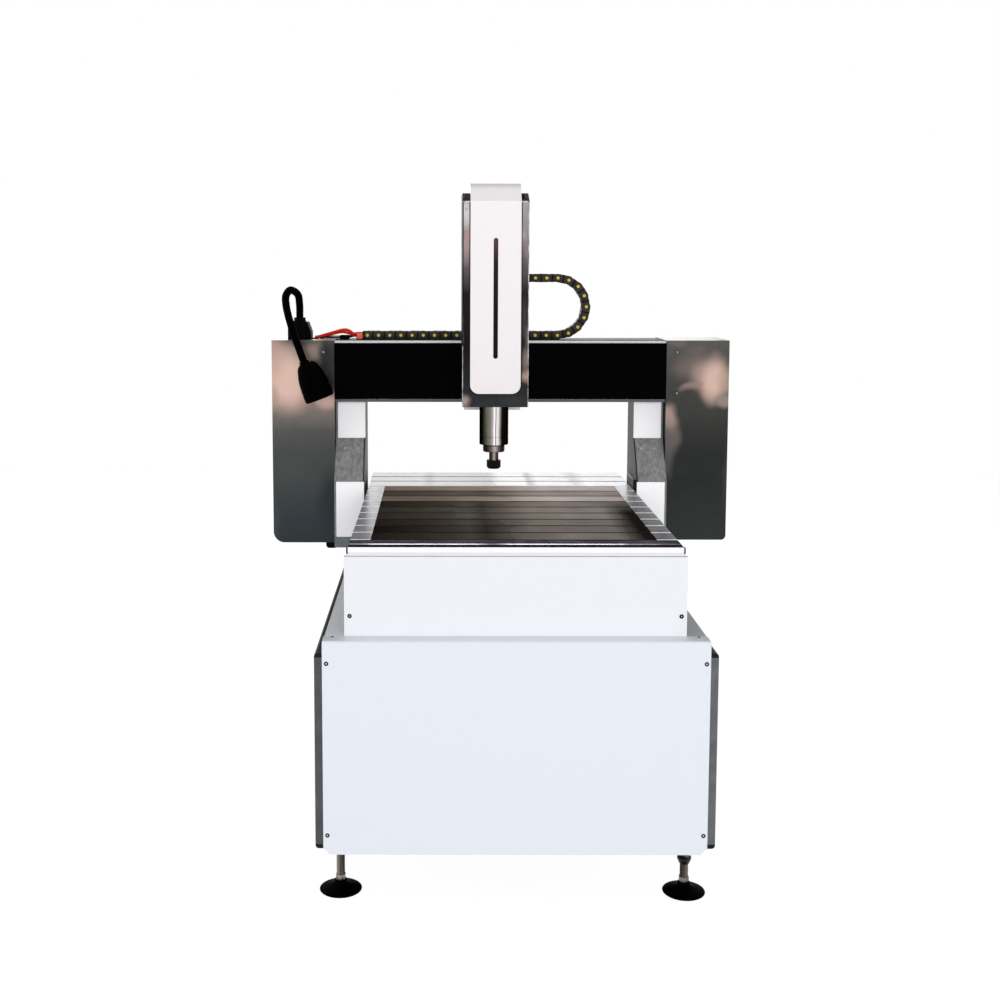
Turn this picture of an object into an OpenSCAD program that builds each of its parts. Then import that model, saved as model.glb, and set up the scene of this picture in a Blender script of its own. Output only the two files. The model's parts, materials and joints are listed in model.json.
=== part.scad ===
// Gantry CNC milling machine: base with T-slot table, travelling gantry,
// cross carriage with enclosed head, and a spindle on a vertical slide.
// Lengths in mm, +X right, +Y back, +Z up, origin on the floor under the centre.

/* [Base] */
// Base length, front to back
base_l = 1280; // [1100:10:1800]
// Width of the front and rear panels
panel_w = 872; // [700:2:1200]
// Underside of the base above the floor
base_z0 = 138; // [100:1:220]
// Top of the base above the floor
base_z1 = 634; // [400:2:800]
// Sheet metal thickness of panels
sheet = 2; // [1.5:0.5:3]
// Outer radius of the folds in the base panels
fold_r = 8; // [5:1:14]
// Outer radius of the folds in the upper panels
upper_fold = 5; // [3:1:7]
// Depth of the panel's top fold
flange_d = 45; // [25:1:80]
// Corner cut at the foot of the panels
panel_cut = 15; // [5:1:30]
// Tube size of the welded frame
tube = 60; // [40:5:80]
// Corner radius of the frame tubes
tube_r = 6; // [3:1:8]
// Thickness of the side covers
cover_t = 20; // [14:1:32]
// Lower end of the side covers above the base's underside
cover_low = 14; // [6:1:60]
// Upper end of the side covers below the base's top
cover_high = 27; // [10:1:60]
// Radius along the side cover edges
cover_r = 8; // [3:1:9]

/* [Feet] */
// Diameter of the foot pads
pad_d = 100; // [60:1:140]
// Thickness of the pad's rim
pad_rim = 5; // [3:0.5:12]
// Diameter of the foot stems
stem_d = 20; // [12:1:30]
// Distance of the front feet behind the front
foot_y = 108; // [60:1:300]
// Distance of the feet outside the middle of the frame tube
foot_out = 2; // [-6:1:6]
// Size across the flats of the lock nuts
nut_af = 30; // [24:1:46]
// Height of the lock nuts
nut_h = 16; // [10:1:24]
// Diameter of the panel screws
pscrew_d = 10.2; // [6:0.2:14]

/* [Table] */
// Table width
table_w = 760; // [500:10:1000]
// Distance of the table ahead of the back
table_b = 132; // [60:1:400]
// Table thickness
table_t = 20; // [15:1:40]
// Distance of the table behind the front
table_y = 48; // [30:1:120]
// Width of the cross bars under the table
bar_w = 50; // [30:5:80]
// Height of the cross bars under the table
bar_h = 60; // [30:5:80]
// Distance of the outer cross bars from the table's ends
bar_set = 90; // [40:5:160]
// Spacing of the T-slots
slot_pitch = 84.6; // [60:0.2:120]
// Width of a T-slot at the top
slot_w = 8; // [6:0.5:14]
// Width of a T-slot's undercut
slot_uw = 15; // [12:0.5:24]
// Height of a T-slot's lips
slot_lip = 5; // [3:0.5:8]
// Height of a T-slot's undercut
slot_uh = 7; // [4:0.5:10]
// Depth of the machined working area
mill_d = 0.5; // [0.2:0.1:1.5]
// Width of the machined working area
mill_w = 666; // [400:2:740]
// Length of the machined working area
mill_l = 840; // [400:2:1080]

/* [Upper body] */
// Height of the side beams
beam_h = 184; // [120:2:300]
// Width of a side beam
beam_w = 80; // [50:2:120]
// Outer face of the side beams from the centre
beam_x = 331; // [250:1:480]
// Width of the upper panels
upper_w = 778; // [600:2:1100]

/* [Drives] */
// Width of the long rails
rail_w = 20; // [15:1:30]
// Height of the long rails
rail_h = 17.5; // [12:0.5:26]
// Height of rail and block together
block_h = 30; // [24:1:45]
// Width of a rail block
block_w = 44; // [34:1:70]
// Length of a rail block
block_l = 77; // [50:1:110]
// Running gap between rail and block
run_gap = 0.3; // [0.1:0.05:0.6]
// Diameter of the lengthwise ball screws
yscrew_d = 20; // [12:1:32]
// Diameter of the cross and vertical ball screws
screw_d = 16; // [12:1:25]
// Radial clearance of a screw in its nut
screw_gap = 0.05; // [0.02:0.01:0.1]
// Size of the motor flanges
motor_w = 57; // [42:1:86]
// Length of the motors
motor_l = 76; // [40:1:110]
// Diameter of the shaft couplings
coupling_d = 25; // [18:1:40]

/* [Gantry] */
// Rest place of the housings' front behind the base front
gantry_y = 875; // [300:5:1100]
// Inner side of the end housings from the centre
house_x = 477; // [420:1:700]
// Width of an end housing
house_w = 180; // [100:2:260]
// Depth of an end housing
house_d = 200; // [120:2:320]
// Wall of the end housings
house_t = 2; // [1.5:0.5:4]
// Top of the end housings, above the base's top
house_top = 629; // [366:1:966]
// Underside of the left housing, above the base's top
house_low_l = 40; // [16:1:266]
// Underside of the right housing, above the base's top
house_low_r = 49; // [16:1:266]
// Lower corner radius of the left housing
house_rl = 32; // [5:1:50]
// Lower corner radius of the right housing
house_rr = 14; // [5:1:50]
// Thickness of the end plates
plate_t = 28; // [12:1:40]
// Height of the end plates' lower end, above the base's top
plate_low = 23; // [6:1:66]
// Front of the upper column behind the housing front
col_set = 40; // [20:1:90]
// Step of the lower column ahead of the upper
col_step = 80; // [30:1:120]
// Depth of the upper column
col_d = 120; // [80:2:200]
// Width of the column's white cover
col_cover_w = 80; // [50:1:120]
// Foot of the white lower cover, above the base's top
col_low = 65; // [46:1:86]
// Height of the grey foot plate
foot_t = 32; // [15:1:40]
// Lower edge of the slanted facet, above the base's top
facet_low = 225; // [146:1:266]
// Upper edge of the slanted facet, above the base's top
facet_top = 342; // [286:1:406]
// Thickness of the column's inner plate
inner_t = 4; // [3:0.5:8]
// Length of the limit switch on the right column
switch_l = 130; // [80:5:170]
// Thickness of the limit switch
switch_w = 8; // [4:0.5:8]
// Height of the limit switch
switch_h = 36; // [20:1:60]
// Underside of the gantry beam, above the base's top
beam_low = 459; // [366:1:566]
// Depth of the gantry beam
gb_d = 120; // [80:2:180]
// Front of the gantry beam behind the housing front
gb_set = 70; // [50:1:120]
// Distance of the black beam cover's upper edge below the beam's top
cov_set = 6; // [2:1:20]
// Width of the trim below the beam cover
trim_b = 8; // [3:0.5:14]

/* [Carriage and head] */
// Rest place of the carriage from the centre line
head_x = -24; // [-200:1:200]
// Front of the head ahead of the housing front
head_lead = 238; // [200:1:300]
// Width of the head frame
head_w = 178; // [150:1:240]
// Lower end of the head frame, above the base's top
head_low = 461; // [426:1:486]
// Height where the head's front slopes back, above the base's top
head_crease = 1011; // [866:5:1166]
// Top of the dark head frame, above the base's top
head_top = 1035; // [966:1:1266]
// Top of the white hood, above the base's top
hood_top = 1060; // [1026:1:1266]
// Width of the white head cover
hood_w = 136; // [100:1:176]
// Lower end of the white head cover, above the base's top
hood_low = 497; // [466:1:566]
// Lower corner radius of the white head cover
hood_r = 24; // [5:1:40]
// Length of the slot in the head cover
hslot_l = 322; // [100:2:460]
// Width of the slot in the head cover
hslot_w = 12; // [6:1:20]
// Carriage width
car_w = 160; // [156:1:168]
// Width of the plate behind the head
backplate_w = 150; // [120:1:158]
// Top of the plate behind the head, above the base's top
backplate_top = 966; // [866:5:1006]
// Width of the short rails
zrail_w = 15; // [12:1:20]
// Height of the short rails
zrail_h = 15; // [12:1:20]
// Height of a short rail and its block together
zblock_h = 28; // [24:1:34]
// Width of a short block
zblock_w = 34; // [28:1:40]
// Length of a short block
zblock_l = 60; // [40:1:70]
// Distance of the short rails from the head's middle
zrail_x = 50; // [40:1:56]
// Width of the slide plate
slide_w = 140; // [120:1:150]
// Height of the slide plate
slide_h = 300; // [260:5:320]

/* [Spindle] */
// Spindle diameter
sp_d = 80; // [65:1:105]
// Spindle body length
sp_l = 220; // [160:5:300]
// Lower end of the spindle body, above the base's top
sp_low = 350; // [306:1:426]
// Diameter of the spindle nose
nose_d = 60; // [40:1:80]
// Length of the spindle nose
nose_l = 20.6; // [10:0.2:40]
// Diameter of the spindle shaft
shaft_d = 26; // [16:1:34]
// Visible length of the spindle shaft
shaft_l = 23.4; // [10:0.2:40]
// Collet nut diameter
collet_d = 39; // [28:1:50]
// Collet nut height
collet_h = 24; // [16:1:34]
// Tool shank bore of the collet
tool_d = 6; // [3:0.5:13]

/* [Drag chain] */
// Spacing of the chain links
link_p = 32.7; // [24:0.1:46]
// Height of a chain link
link_h = 25; // [18:0.5:36]
// Width of the drag chain
link_w = 42; // [30:1:60]
// Bend radius of the chain at its pivots
bend_r = 83.5; // [60:0.5:120]
// Number of links in the lower run
run_n = 17; // [10:1:22]
// Number of links in the loop
loop_n = 8; // [6:1:12]
// Number of links in the upper run
top_n = 8; // [5:1:12]
// Place of the first chain pivot from the centre
chain_x = -386; // [-420:1:-200]

/* [Lamp] */
// Diameter of the lamp's gooseneck
neck_d = 21; // [12:0.5:26]
// Widest diameter of the lamp head
lamp_d = 82; // [50:1:110]
// Length of the lamp head
lamp_l = 107; // [60:1:140]
// Offset of the neck from the lamp head's middle
lamp_off = 4; // [0:1:20]
// Tilt of the lamp head
lamp_tilt = 21; // [0:0.2:45]

/* [Hidden] */
$fn = 48;
eps = 0.01;
gap = 0.3;
seam = 0.3;
front = -base_l / 2;
back = base_l / 2;
house_z1 = base_z1 + house_top;
house_zl = base_z1 + house_low_l;
house_zr = base_z1 + house_low_r;
plate_z0 = base_z1 + plate_low;
col_z0 = base_z1 + col_low;
facet_z0 = base_z1 + facet_low;
facet_z1 = base_z1 + facet_top;
gb_z0 = base_z1 + beam_low;
head_z0 = base_z1 + head_low;
head_z1 = base_z1 + head_crease;
head_z2 = base_z1 + head_top;
hood_z = base_z1 + hood_top;
hood_z0 = base_z1 + hood_low;
backplate_z1 = base_z1 + backplate_top;
sp_z = base_z1 + sp_low;
frame_w = panel_w / 2 - sheet;
foot_x = frame_w - tube / 2 + foot_out;
table_l = base_l - table_y - table_b;
table_z = base_z1 + beam_h + table_t;
table_f = front + table_y;
strip_z = table_z - slot_lip - slot_uh;
slot_n = floor((table_l - slot_uw) / slot_pitch);
up_f = front + flange_d + gap;
up_b = back - flange_d - gap;
sb_f = front + 60;
sb_b = back - 60;
sb_z1 = base_z1 + beam_h;
gy = front + gantry_y;
rail_f = sb_f + 2;
rail_b = sb_b - 2;
yrail_z = sb_z1 - 48;
inner_x = upper_w / 2 + 2;
ys_z = base_z1 + 56;
ys_x = beam_x + motor_w / 2 + 0.5;
col_x0 = inner_x + inner_t;
cu_y = gy + col_set;
cl_y = cu_y - col_step;
col_b = cu_y + col_d;
ym_y = (cl_y + 5 + col_b) / 2;
yn_y = ym_y - 62;
gb_y = gy + gb_set;
gb_z1 = house_z1 - house_t;
cov_z0 = gb_z0;
cov_z1 = gb_z1 - cov_set;
cov_y = gy + 6;
trim_t = 2;
xr_y = gb_y;
xr_z0 = gb_z0 + 32;
xr_z1 = gb_z1 - 36;
xs_z = (xr_z0 + xr_z1) / 2;
xs_y = gb_y - 16;
car_z0 = cov_z0 - trim_b - 19;
car_z1 = cov_z1 + 24;
arm_t = 13;
in_y0 = gb_y - block_h - 18;
in_y1 = gb_y - block_h;
out_y0 = in_y0 - 52;
out_y1 = in_y0 - 32;
head_y = gy - head_lead;
sp_y = head_y + 87;
sp_top = sp_z + sp_l;
zp_y1 = out_y0;
zp_y0 = zp_y1 - 20;
zs_y = zp_y0 - 14;
zs_z0 = head_z0 + 35;
zs_z1 = zs_z0 + slide_h;
zp_z0 = head_z0 + 5;
zp_z1 = backplate_z1;
zr_z0 = zp_z0 + 4;
sl_y1 = zp_y0 - zblock_h;
sl_y0 = sl_y1 - 18;
ch_y = gb_y + 5;
ch_z = gb_z1 + link_h / 2 + gap;
loop_x = chain_x + run_n * link_p;
loop_z = ch_z + bend_r;
up_z = ch_z + 2 * bend_r;
up_x = loop_x - top_n * link_p;
lamp_y = gy + 75;
lamp_x = -583;
neck_r = neck_d / 2;
shade_y = gy - 49;
neck_z = house_z1 + 55;
cap_p = [lamp_x + 25.2, shade_y, house_z1 - 62.1];
cap_u = [-sin(lamp_tilt), 0, cos(lamp_tilt)];
frame_z0 = base_z0 + panel_cut + sheet;
nut_top = frame_z0 - nut_h - gap;
nut_z = [nut_top, base_z0 - nut_h - 50, nut_top, nut_top];
foot_xy = [[-foot_x, front + foot_y + 6], [foot_x - 2, front + foot_y - 5],
           [-foot_x, back - foot_y], [foot_x, back - foot_y]];

// Box between two corners.
module box(x0, x1, y0, y1, z0, z1) {
    translate([x0, y0, z0]) cube([x1 - x0, y1 - y0, z1 - z0]);
}

// Two mirrored copies, left and right.
module sides() {
    children();
    mirror([1, 0, 0]) children();
}

// Rectangle with its own radius at each corner, anticlockwise from low x, low y.
module rrect(x0, x1, y0, y1, a, b, c, d) {
    polygon([[x0 + a, y0], [x1 - b, y0], [x1, y0 + b], [x1, y1 - c],
             [x1 - c, y1], [x0 + d, y1], [x0, y1 - d], [x0, y0 + a]]);
    if (a > 0) translate([x0 + a, y0 + a]) circle(a);
    if (b > 0) translate([x1 - b, y0 + b]) circle(b);
    if (c > 0) translate([x1 - c, y1 - c]) circle(c);
    if (d > 0) translate([x0 + d, y1 - d]) circle(d);
}

// Profile in X and Z, drawn out along Y.
module along_y(y0, y1) {
    translate([0, y1, 0]) rotate([90, 0, 0]) linear_extrude(y1 - y0) children();
}

// Profile in Y and Z, drawn out along X.
module along_x(x0, x1) {
    translate([x0, 0, 0]) rotate([90, 0, 90]) linear_extrude(x1 - x0) children();
}

// Round bar along X, Y or Z between two places.
module bar_x(x0, x1, y, z, d) {
    translate([x0, y, z]) rotate([0, 90, 0]) cylinder(d = d, h = x1 - x0);
}
module bar_y(x, y0, y1, z, d) {
    translate([x, y1, z]) rotate([90, 0, 0]) cylinder(d = d, h = y1 - y0);
}
module bar_z(x, y, z0, z1, d) {
    translate([x, y, z0]) cylinder(d = d, h = z1 - z0);
}

// Sheet folded back at the top: face at y = 0, fold towards +Y.
module folded(w, h, d, r) {
    along_x(-w / 2, w / 2) difference() {
        rrect(0, d, 0, h, 0, 0, 0, r);
        rrect(sheet, d + 1, -1, h - sheet, 0, 0, 0, r - sheet);
    }
}

// Folded panel of the base with its lower corners cut.
module base_panel() {
    difference() {
        translate([0, 0, base_z0]) folded(panel_w, base_z1 - base_z0, flange_d, fold_r);
        sides() along_y(-1, flange_d + 1) polygon([
            [panel_w / 2 - panel_cut, base_z0 - 1],
            [panel_w / 2 + 1, base_z0 - 1],
            [panel_w / 2 + 1, base_z0 + panel_cut],
            [panel_w / 2, base_z0 + panel_cut],
            [panel_w / 2 - panel_cut, base_z0]]);
    }
}

// Square tube along X, seen from the end at y, z.
module tube_x(x0, x1, y, z) {
    along_x(x0, x1) rrect(y, y + tube, z, z + tube, tube_r, tube_r, tube_r, tube_r, $fn = 16);
}

// Welded frame: long tubes with posts and cross tubes between them.
module base_frame() {
    lo = frame_z0;
    hi = base_z1 - sheet;
    f = front + sheet;
    b = back - sheet;
    xi = frame_w - tube;
    fold = max(fold_r - sheet, 0);
    color("#3b3f42") {
        difference() {
            sides() box(xi, frame_w, f, b, lo, lo + tube);
            for (p = foot_xy)
                bar_z(p[0], p[1], lo - 1, lo + tube + 1, stem_d + 2 * screw_gap);
        }
        sides() {
            box(xi, frame_w, f + fold, b - fold, hi - tube, hi);
            for (y = [f, -tube / 2, b - tube])
                box(xi, frame_w, y, y + tube, lo + tube + seam, hi - tube - seam);
        }
        for (y = [f, -tube / 2, b - tube]) tube_x(-xi + seam, xi - seam, y, lo);
        for (i = [0:4])
            tube_x(-xi + seam, xi - seam, f + i * (b - f - tube) / 4, hi - tube);
    }
}

module front_panel() {
    color("#eef0f6") translate([0, front, 0]) base_panel();
}

module rear_panel() {
    color("#eef0f6") translate([0, back, 0]) mirror([0, 1, 0]) base_panel();
}

module deck_plate() {
    color("#8e9296") box(-frame_w, frame_w, up_f, up_b, base_z1 - sheet, base_z1);
}

// Side trays that close the base: a rounded sheet box open to the frame.
module side_covers() {
    z0 = base_z0 + cover_low;
    z1 = base_z1 - cover_high;
    x1 = frame_w + cover_t;
    f = front + sheet;
    b = back - sheet;
    color("#55595c") sides() difference() {
        along_y(f, b) rrect(frame_w, x1, z0, z1, 0, cover_r, cover_r, 0);
        along_y(f + sheet, b - sheet)
            rrect(frame_w - 1, x1 - sheet, z0 + sheet, z1 - sheet, 0, cover_r - sheet, cover_r - sheet, 0);
    }
}

module upper_front_panel() {
    color("#f2f2f6") translate([0, up_f, base_z1])
        folded(upper_w, beam_h - 1, sb_f - up_f, upper_fold);
}

module upper_rear_panel() {
    color("#f2f2f6") translate([0, up_b, base_z1]) mirror([0, 1, 0])
        folded(upper_w, beam_h + sheet, up_b - table_f - table_l - 2, upper_fold);
}

// Closed welded box beams.
module side_beams() {
    color("#c9ccd0") sides() box(beam_x - beam_w, beam_x, sb_f, sb_b, base_z1, sb_z1);
}

module bed_crossbars() {
    x = beam_x - beam_w;
    n = 5;
    first = table_f + bar_set;
    step = (table_l - 2 * bar_set - bar_w) / (n - 1);
    color("#6d7276") for (i = [0:n - 1])
        box(-x, x, first + i * step, first + i * step + bar_w, sb_z1 - bar_h, sb_z1);
}

// Base plate of the table.
module bed_plate() {
    color("#c3c6c8") box(-table_w / 2, table_w / 2, table_f, table_f + table_l, sb_z1, strip_z);
}

// Strips whose edges form the T-slots, with a skimmed working area on top.
module bed_table() {
    x = table_w / 2;
    zu = strip_z + slot_uh;
    color("#d9dbdd") difference() {
        box(-x, x, table_f, table_f + table_l, strip_z, table_z);
        box(-mill_w / 2, mill_w / 2, table_f + 5, table_f + 5 + mill_l, table_z - mill_d, table_z + 1);
        for (i = [1:slot_n]) translate([0, table_f + i * slot_pitch, 0]) {
            box(-x - 1, x + 1, -slot_w / 2, slot_w / 2, strip_z - 1, table_z + 1);
            box(-x - 1, x + 1, -slot_uw / 2, slot_uw / 2, strip_z - 1, zu);
        }
    }
}

// Rail section: base along u, height along v, with waisted flanks.
module rail_2d(w, h) {
    polygon([[-w / 2, 0], [w / 2, 0], [w / 2, h * 0.3], [w * 0.38, h * 0.45],
             [w * 0.38, h * 0.62], [w / 2, h * 0.75], [w / 2, h], [-w / 2, h],
             [-w / 2, h * 0.75], [-w * 0.38, h * 0.62], [-w * 0.38, h * 0.45], [-w / 2, h * 0.3]]);
}

// Block section that straddles the rail with the running gap.
module block_2d(bw, bh, w, h) {
    foot = h * 0.26;
    difference() {
        translate([-bw / 2, foot]) square([bw, bh - foot]);
        translate([-w / 2 - run_gap, foot - 1]) square([w + 2 * run_gap, h - foot + 1 + run_gap]);
    }
}

module y_rails() {
    color("#b9bdc2") sides() along_y(rail_f, rail_b)
        translate([beam_x, yrail_z]) rotate(-90) rail_2d(rail_w, rail_h);
}

module y_blocks() {
    color("#9da2a7") sides() for (y = [ym_y - 50, ym_y + 50])
        along_y(y - block_l / 2, y + block_l / 2)
            translate([beam_x, yrail_z]) rotate(-90) block_2d(block_w, block_h, rail_w, rail_h);
}

// Inner plates of the columns with the spacers on the rail blocks, the
// housings of the ball nuts, and a limit switch on the right.
module y_carriage_plates() {
    xi = inner_x - seam;
    color("#3a3c3b") sides() {
        along_x(inner_x, col_x0) column_side(col_z0 - foot_t, gb_z0 - trim_b - seam);
        box(beam_x + block_h, xi, ym_y - 89, ym_y + 89, yrail_z - 30, yrail_z + 30);
        difference() {
            box(beam_x + 10, xi, yn_y - 25, yn_y + 25, ys_z - 24, ys_z + 24);
            bar_y(ys_x, yn_y - 26, yn_y + 26, ys_z, yscrew_d + 2 * screw_gap);
        }
    }
    color("#1a1b1c") box(inner_x - switch_w, inner_x, cl_y + 20, cl_y + 20 + switch_l,
        table_z - 11, table_z - 11 + switch_h);
}

module y_screw_supports() {
    e = sb_b - 100;
    color("#2c2e30") sides() difference() {
        union() {
            box(beam_x, beam_x + 54, sb_f + 45, sb_f + 70, ys_z - 24, ys_z + 24);
            box(beam_x, beam_x + 54, e - 25, e, ys_z - 24, ys_z + 24);
            box(beam_x, beam_x + motor_w + 1, e + 24, e + 30, ys_z - 30, ys_z + 30);
        }
        bar_y(ys_x, sb_f + 44, e + 1, ys_z, yscrew_d + 2 * screw_gap);
        bar_y(ys_x, e + 23, e + 31, ys_z, 38);
    }
}

// Motor: square body with a laminated middle and a round pilot, axis +Z.
module motor(w, l) {
    difference() {
        translate([-w / 2, -w / 2, 0]) cube([w, w, l]);
        for (a = [0:90:270]) rotate([0, 0, a])
            translate([w / 2 - 4, w / 2 - 4, 6]) cube([5, 5, l - 12]);
    }
    translate([0, 0, -3]) cylinder(d = 36, h = 3 + eps);
}

module y_motors() {
    e = sb_b - 70;
    color("#1d1e20") sides()
        translate([ys_x, e, ys_z]) rotate([-90, 0, 0]) motor(motor_w, motor_l);
}

module y_screw(s) {
    e = sb_b - 100;
    color("#c4c8cc") translate([s * ys_x, 0, 0]) {
        bar_y(0, sb_f + 40, e + 8, ys_z, yscrew_d);
        bar_y(0, e + 2, e + 20, ys_z, coupling_d);
    }
}

module y_screw_left() {
    y_screw(-1);
}

module y_screw_right() {
    y_screw(1);
}

// Lock nuts of the feet and the screws of the panels.
module base_fasteners() {
    color("#2a2c2e") for (i = [0:3]) difference() {
        translate([foot_xy[i][0], foot_xy[i][1], nut_z[i]])
            if (i == 1) rotate_extrude() polygon([[0, 0], [stem_d / 2 + 2, 0],
                [nut_af / 2 + 1.5, nut_h * 0.66], [nut_af / 2 + 1.5, nut_h], [0, nut_h]]);
            else cylinder(d = nut_af / cos(30), h = nut_h, $fn = 6);
        bar_z(foot_xy[i][0], foot_xy[i][1], nut_z[i] - 1, nut_z[i] + nut_h + 1, stem_d + 2 * screw_gap);
    }
    color("#3a3c40") sides() {
        for (z = [base_z0 + 45.5, base_z1 - 51]) {
            bar_y(panel_w / 2 - 9.5, front - 0.6, front, z, pscrew_d);
            bar_y(panel_w / 2 - 9.5, back, back + 0.6, z, pscrew_d);
        }
        bar_y(upper_w / 2 - 12.5, up_f - 1.2, up_f, base_z1 + 46, pscrew_d);
        bar_y(upper_w / 2 - 12.5, up_b, up_b + 1.2, base_z1 + 46, pscrew_d);
        bar_z(panel_w / 2 - 21, front + flange_d - 8, base_z1, base_z1 + 1.2, 6);
        bar_z(panel_w / 2 - 21, back - flange_d + 8, base_z1, base_z1 + 1.2, 6);
    }
}

// Levelling foot: domed pad, swivel neck with hexagon, threaded stem.
module foot(i) {
    translate([foot_xy[i][0], foot_xy[i][1], 0]) {
        color("#161719") rotate_extrude() polygon([[0, 0], [pad_d / 2 - 1.5, 0], [pad_d / 2, 1.5],
            [pad_d / 2, pad_rim], [pad_d / 2 - 9, pad_rim + 4], [16, pad_rim + 10],
            [13, pad_rim + 14], [stem_d / 2 + 1, pad_rim + 22], [0, pad_rim + 22]]);
        color("#9a958c") translate([0, 0, pad_rim + 21]) cylinder(d = 25.4, h = 14, $fn = 6);
        color("#a9a49b") cylinder(d = stem_d, h = frame_z0 + tube + 30);
    }
}

module foot_front_left() {
    foot(0);
}

module foot_front_right() {
    foot(1);
}

module foot_rear_left() {
    foot(2);
}

module foot_rear_right() {
    foot(3);
}

// Side of a column: the lower part steps forward under a slanted facet.
module column_side(z0, z1) {
    polygon([[cl_y + sheet, z0], [cl_y + sheet, facet_z0], [cu_y + sheet, facet_z1],
             [cu_y + sheet, z1], [col_b, z1], [col_b, z0]]);
}

module columns() {
    color("#85888a") sides() along_x(col_x0, house_x) column_side(col_z0, gb_z0);
}

module column_covers() {
    x0 = inner_x;
    color("#f6f6fa") sides() {
        box(x0, x0 + col_cover_w, cu_y, cu_y + sheet, facet_z1, gb_z0 - 1);
        box(x0, x0 + col_cover_w, cl_y, cl_y + sheet, col_z0, facet_z0);
    }
}

module column_feet() {
    color("#7d8386") sides()
        box(col_x0, house_x, cl_y + sheet, col_b, col_z0 - foot_t, col_z0);
}

// End plates: the left one lets the cross screw's coupling through.
module end_plates() {
    y0 = gy + house_t;
    y1 = gy + house_d - house_t;
    color("#17181a") difference() {
        sides() along_y(y0, y1)
            rrect(house_x, house_x + plate_t, plate_z0, gb_z1, 0, 10, 0, 0);
        bar_x(-house_x - plate_t - 1, -house_x + 1, xs_y, xs_z, 40);
    }
}

// End housing: sheet box open to the end plate, lower outer corner rounded.
module housing(z0, r) {
    x1 = house_x + house_w;
    y0 = gy;
    y1 = gy + house_d;
    xi = house_x + plate_t + gap;
    difference() {
        along_y(y0, y1) rrect(house_x, x1, z0, house_z1, 0, r, 0, 0);
        along_y(y0 + house_t, y1 - house_t)
            rrect(house_x - 1, x1 - house_t, z0 + house_t, house_z1 - house_t, 0, r - house_t, 0, 0);
        box(house_x - 1, xi, y0 + house_t, y1 - house_t, z0 - 1, z0 + 10);
    }
}

module housing_left() {
    color("#5b5c5e") mirror([1, 0, 0]) housing(house_zl, house_rl);
}

module housing_right() {
    color("#5b5c5e") housing(house_zr, house_rr);
}

// Closed welded box beam.
module gantry_beam() {
    color("#b4b7ba") box(-house_x, house_x, gb_y, gb_y + gb_d, gb_z0, gb_z1);
}

module beam_cover() {
    color("#060607") box(-house_x, house_x, cov_y, cov_y + sheet, cov_z0, cov_z1);
}

// Two light strips, over and under the black cover.
module cover_trim() {
    y0 = cov_y - trim_t;
    x = house_x;
    color("#9a9c9e") {
        box(-x, x, y0, cov_y, cov_z0 - trim_b, cov_z0);
        box(-x, x, y0, cov_y, cov_z1, cov_z1 + 7);
    }
}

module x_rails() {
    color("#b9bdc2") for (z = [xr_z0, xr_z1]) along_x(47 - house_x, house_x - 47)
        translate([gb_y, z]) rotate(90) rail_2d(rail_w, rail_h);
}

module x_blocks() {
    color("#9da2a7") for (z = [xr_z0, xr_z1]) for (s = [-1, 1])
        translate([head_x + s * (block_l / 2 + 1.2), 0, 0]) along_x(-block_l / 2, block_l / 2)
            translate([gb_y, z]) rotate(90) block_2d(block_w, block_h, rail_w, rail_h);
}

module x_screw_supports() {
    color("#2c2e30") difference() {
        union() {
            box(-house_x + 15, -house_x + 40, gb_y - 30, gb_y, xs_z - 20, xs_z + 20);
            box(house_x - 52, house_x - 27, gb_y - 30, gb_y, xs_z - 20, xs_z + 20);
        }
        bar_x(-house_x, house_x, xs_y, xs_z, screw_d + 2 * screw_gap);
    }
}

module x_screw() {
    color("#c4c8cc") {
        bar_x(-house_x - 10, house_x - 22, xs_y, xs_z, screw_d);
        bar_x(-house_x - 22, -house_x + 8, xs_y, xs_z, coupling_d);
    }
}

module x_motor() {
    color("#1d1e20") translate([-house_x - plate_t, xs_y, xs_z]) rotate([0, -90, 0])
        motor(motor_w, motor_l);
}

// Screws of the end housings and of the column facets.
module gantry_screws() {
    ft = (cu_y - cl_y) / (facet_z1 - facet_z0);
    a = atan(ft);
    fz = facet_z1 - 28;
    fy = cu_y + sheet - 28 * ft;
    color("#cfd2d4") sides() {
        for (z = [house_z1 - 34, house_z1 - 152])
            bar_y(house_x + 31, gy - 1.5, gy, z, 8);
        for (x = [col_x0 + 16, col_x0 + 54])
            translate([x, fy, fz]) rotate([90 - a, 0, 0]) cylinder(d = 7, h = 1.5);
    }
}

// One chain link seen from the side, h high, pivots at u = 0 and u = l.
module link_2d(l, h) {
    translate([0, -h / 2]) square([l, h]);
    circle(d = h);
    translate([l, 0]) circle(d = h);
}

// Slab across the chain, w wide and centred in it.
module chain_slab(w) {
    along_y(ch_y + (link_w - w) / 2, ch_y + (link_w + w) / 2) children();
}

// Wider side plates of a link, set in a little, and its pivots.
module link_sides(l) {
    chain_slab(link_w) link_2d(l, link_h - 1.6);
    chain_slab(link_w + 1.2) circle(d = 9);
    chain_slab(link_w + 1.2) translate([l, 0]) circle(d = 9);
}

module chain_lower() {
    color("#2b2b2e") difference() {
        union() {
            chain_slab(link_w - 5) for (i = [0:run_n - 1])
                translate([chain_x + i * link_p, ch_z]) link_2d(link_p, link_h);
            for (i = [0:2:run_n - 1]) translate([chain_x + i * link_p, 0, ch_z]) link_sides(link_p);
        }
        chain_slab(link_w - 10) translate([chain_x - link_h, ch_z - 8])
            square([loop_x - chain_x + 2 * link_h, 16]);
        chain_slab(link_w + 2) translate([loop_x, ch_z - link_h]) square(2 * link_h);
    }
}

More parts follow.
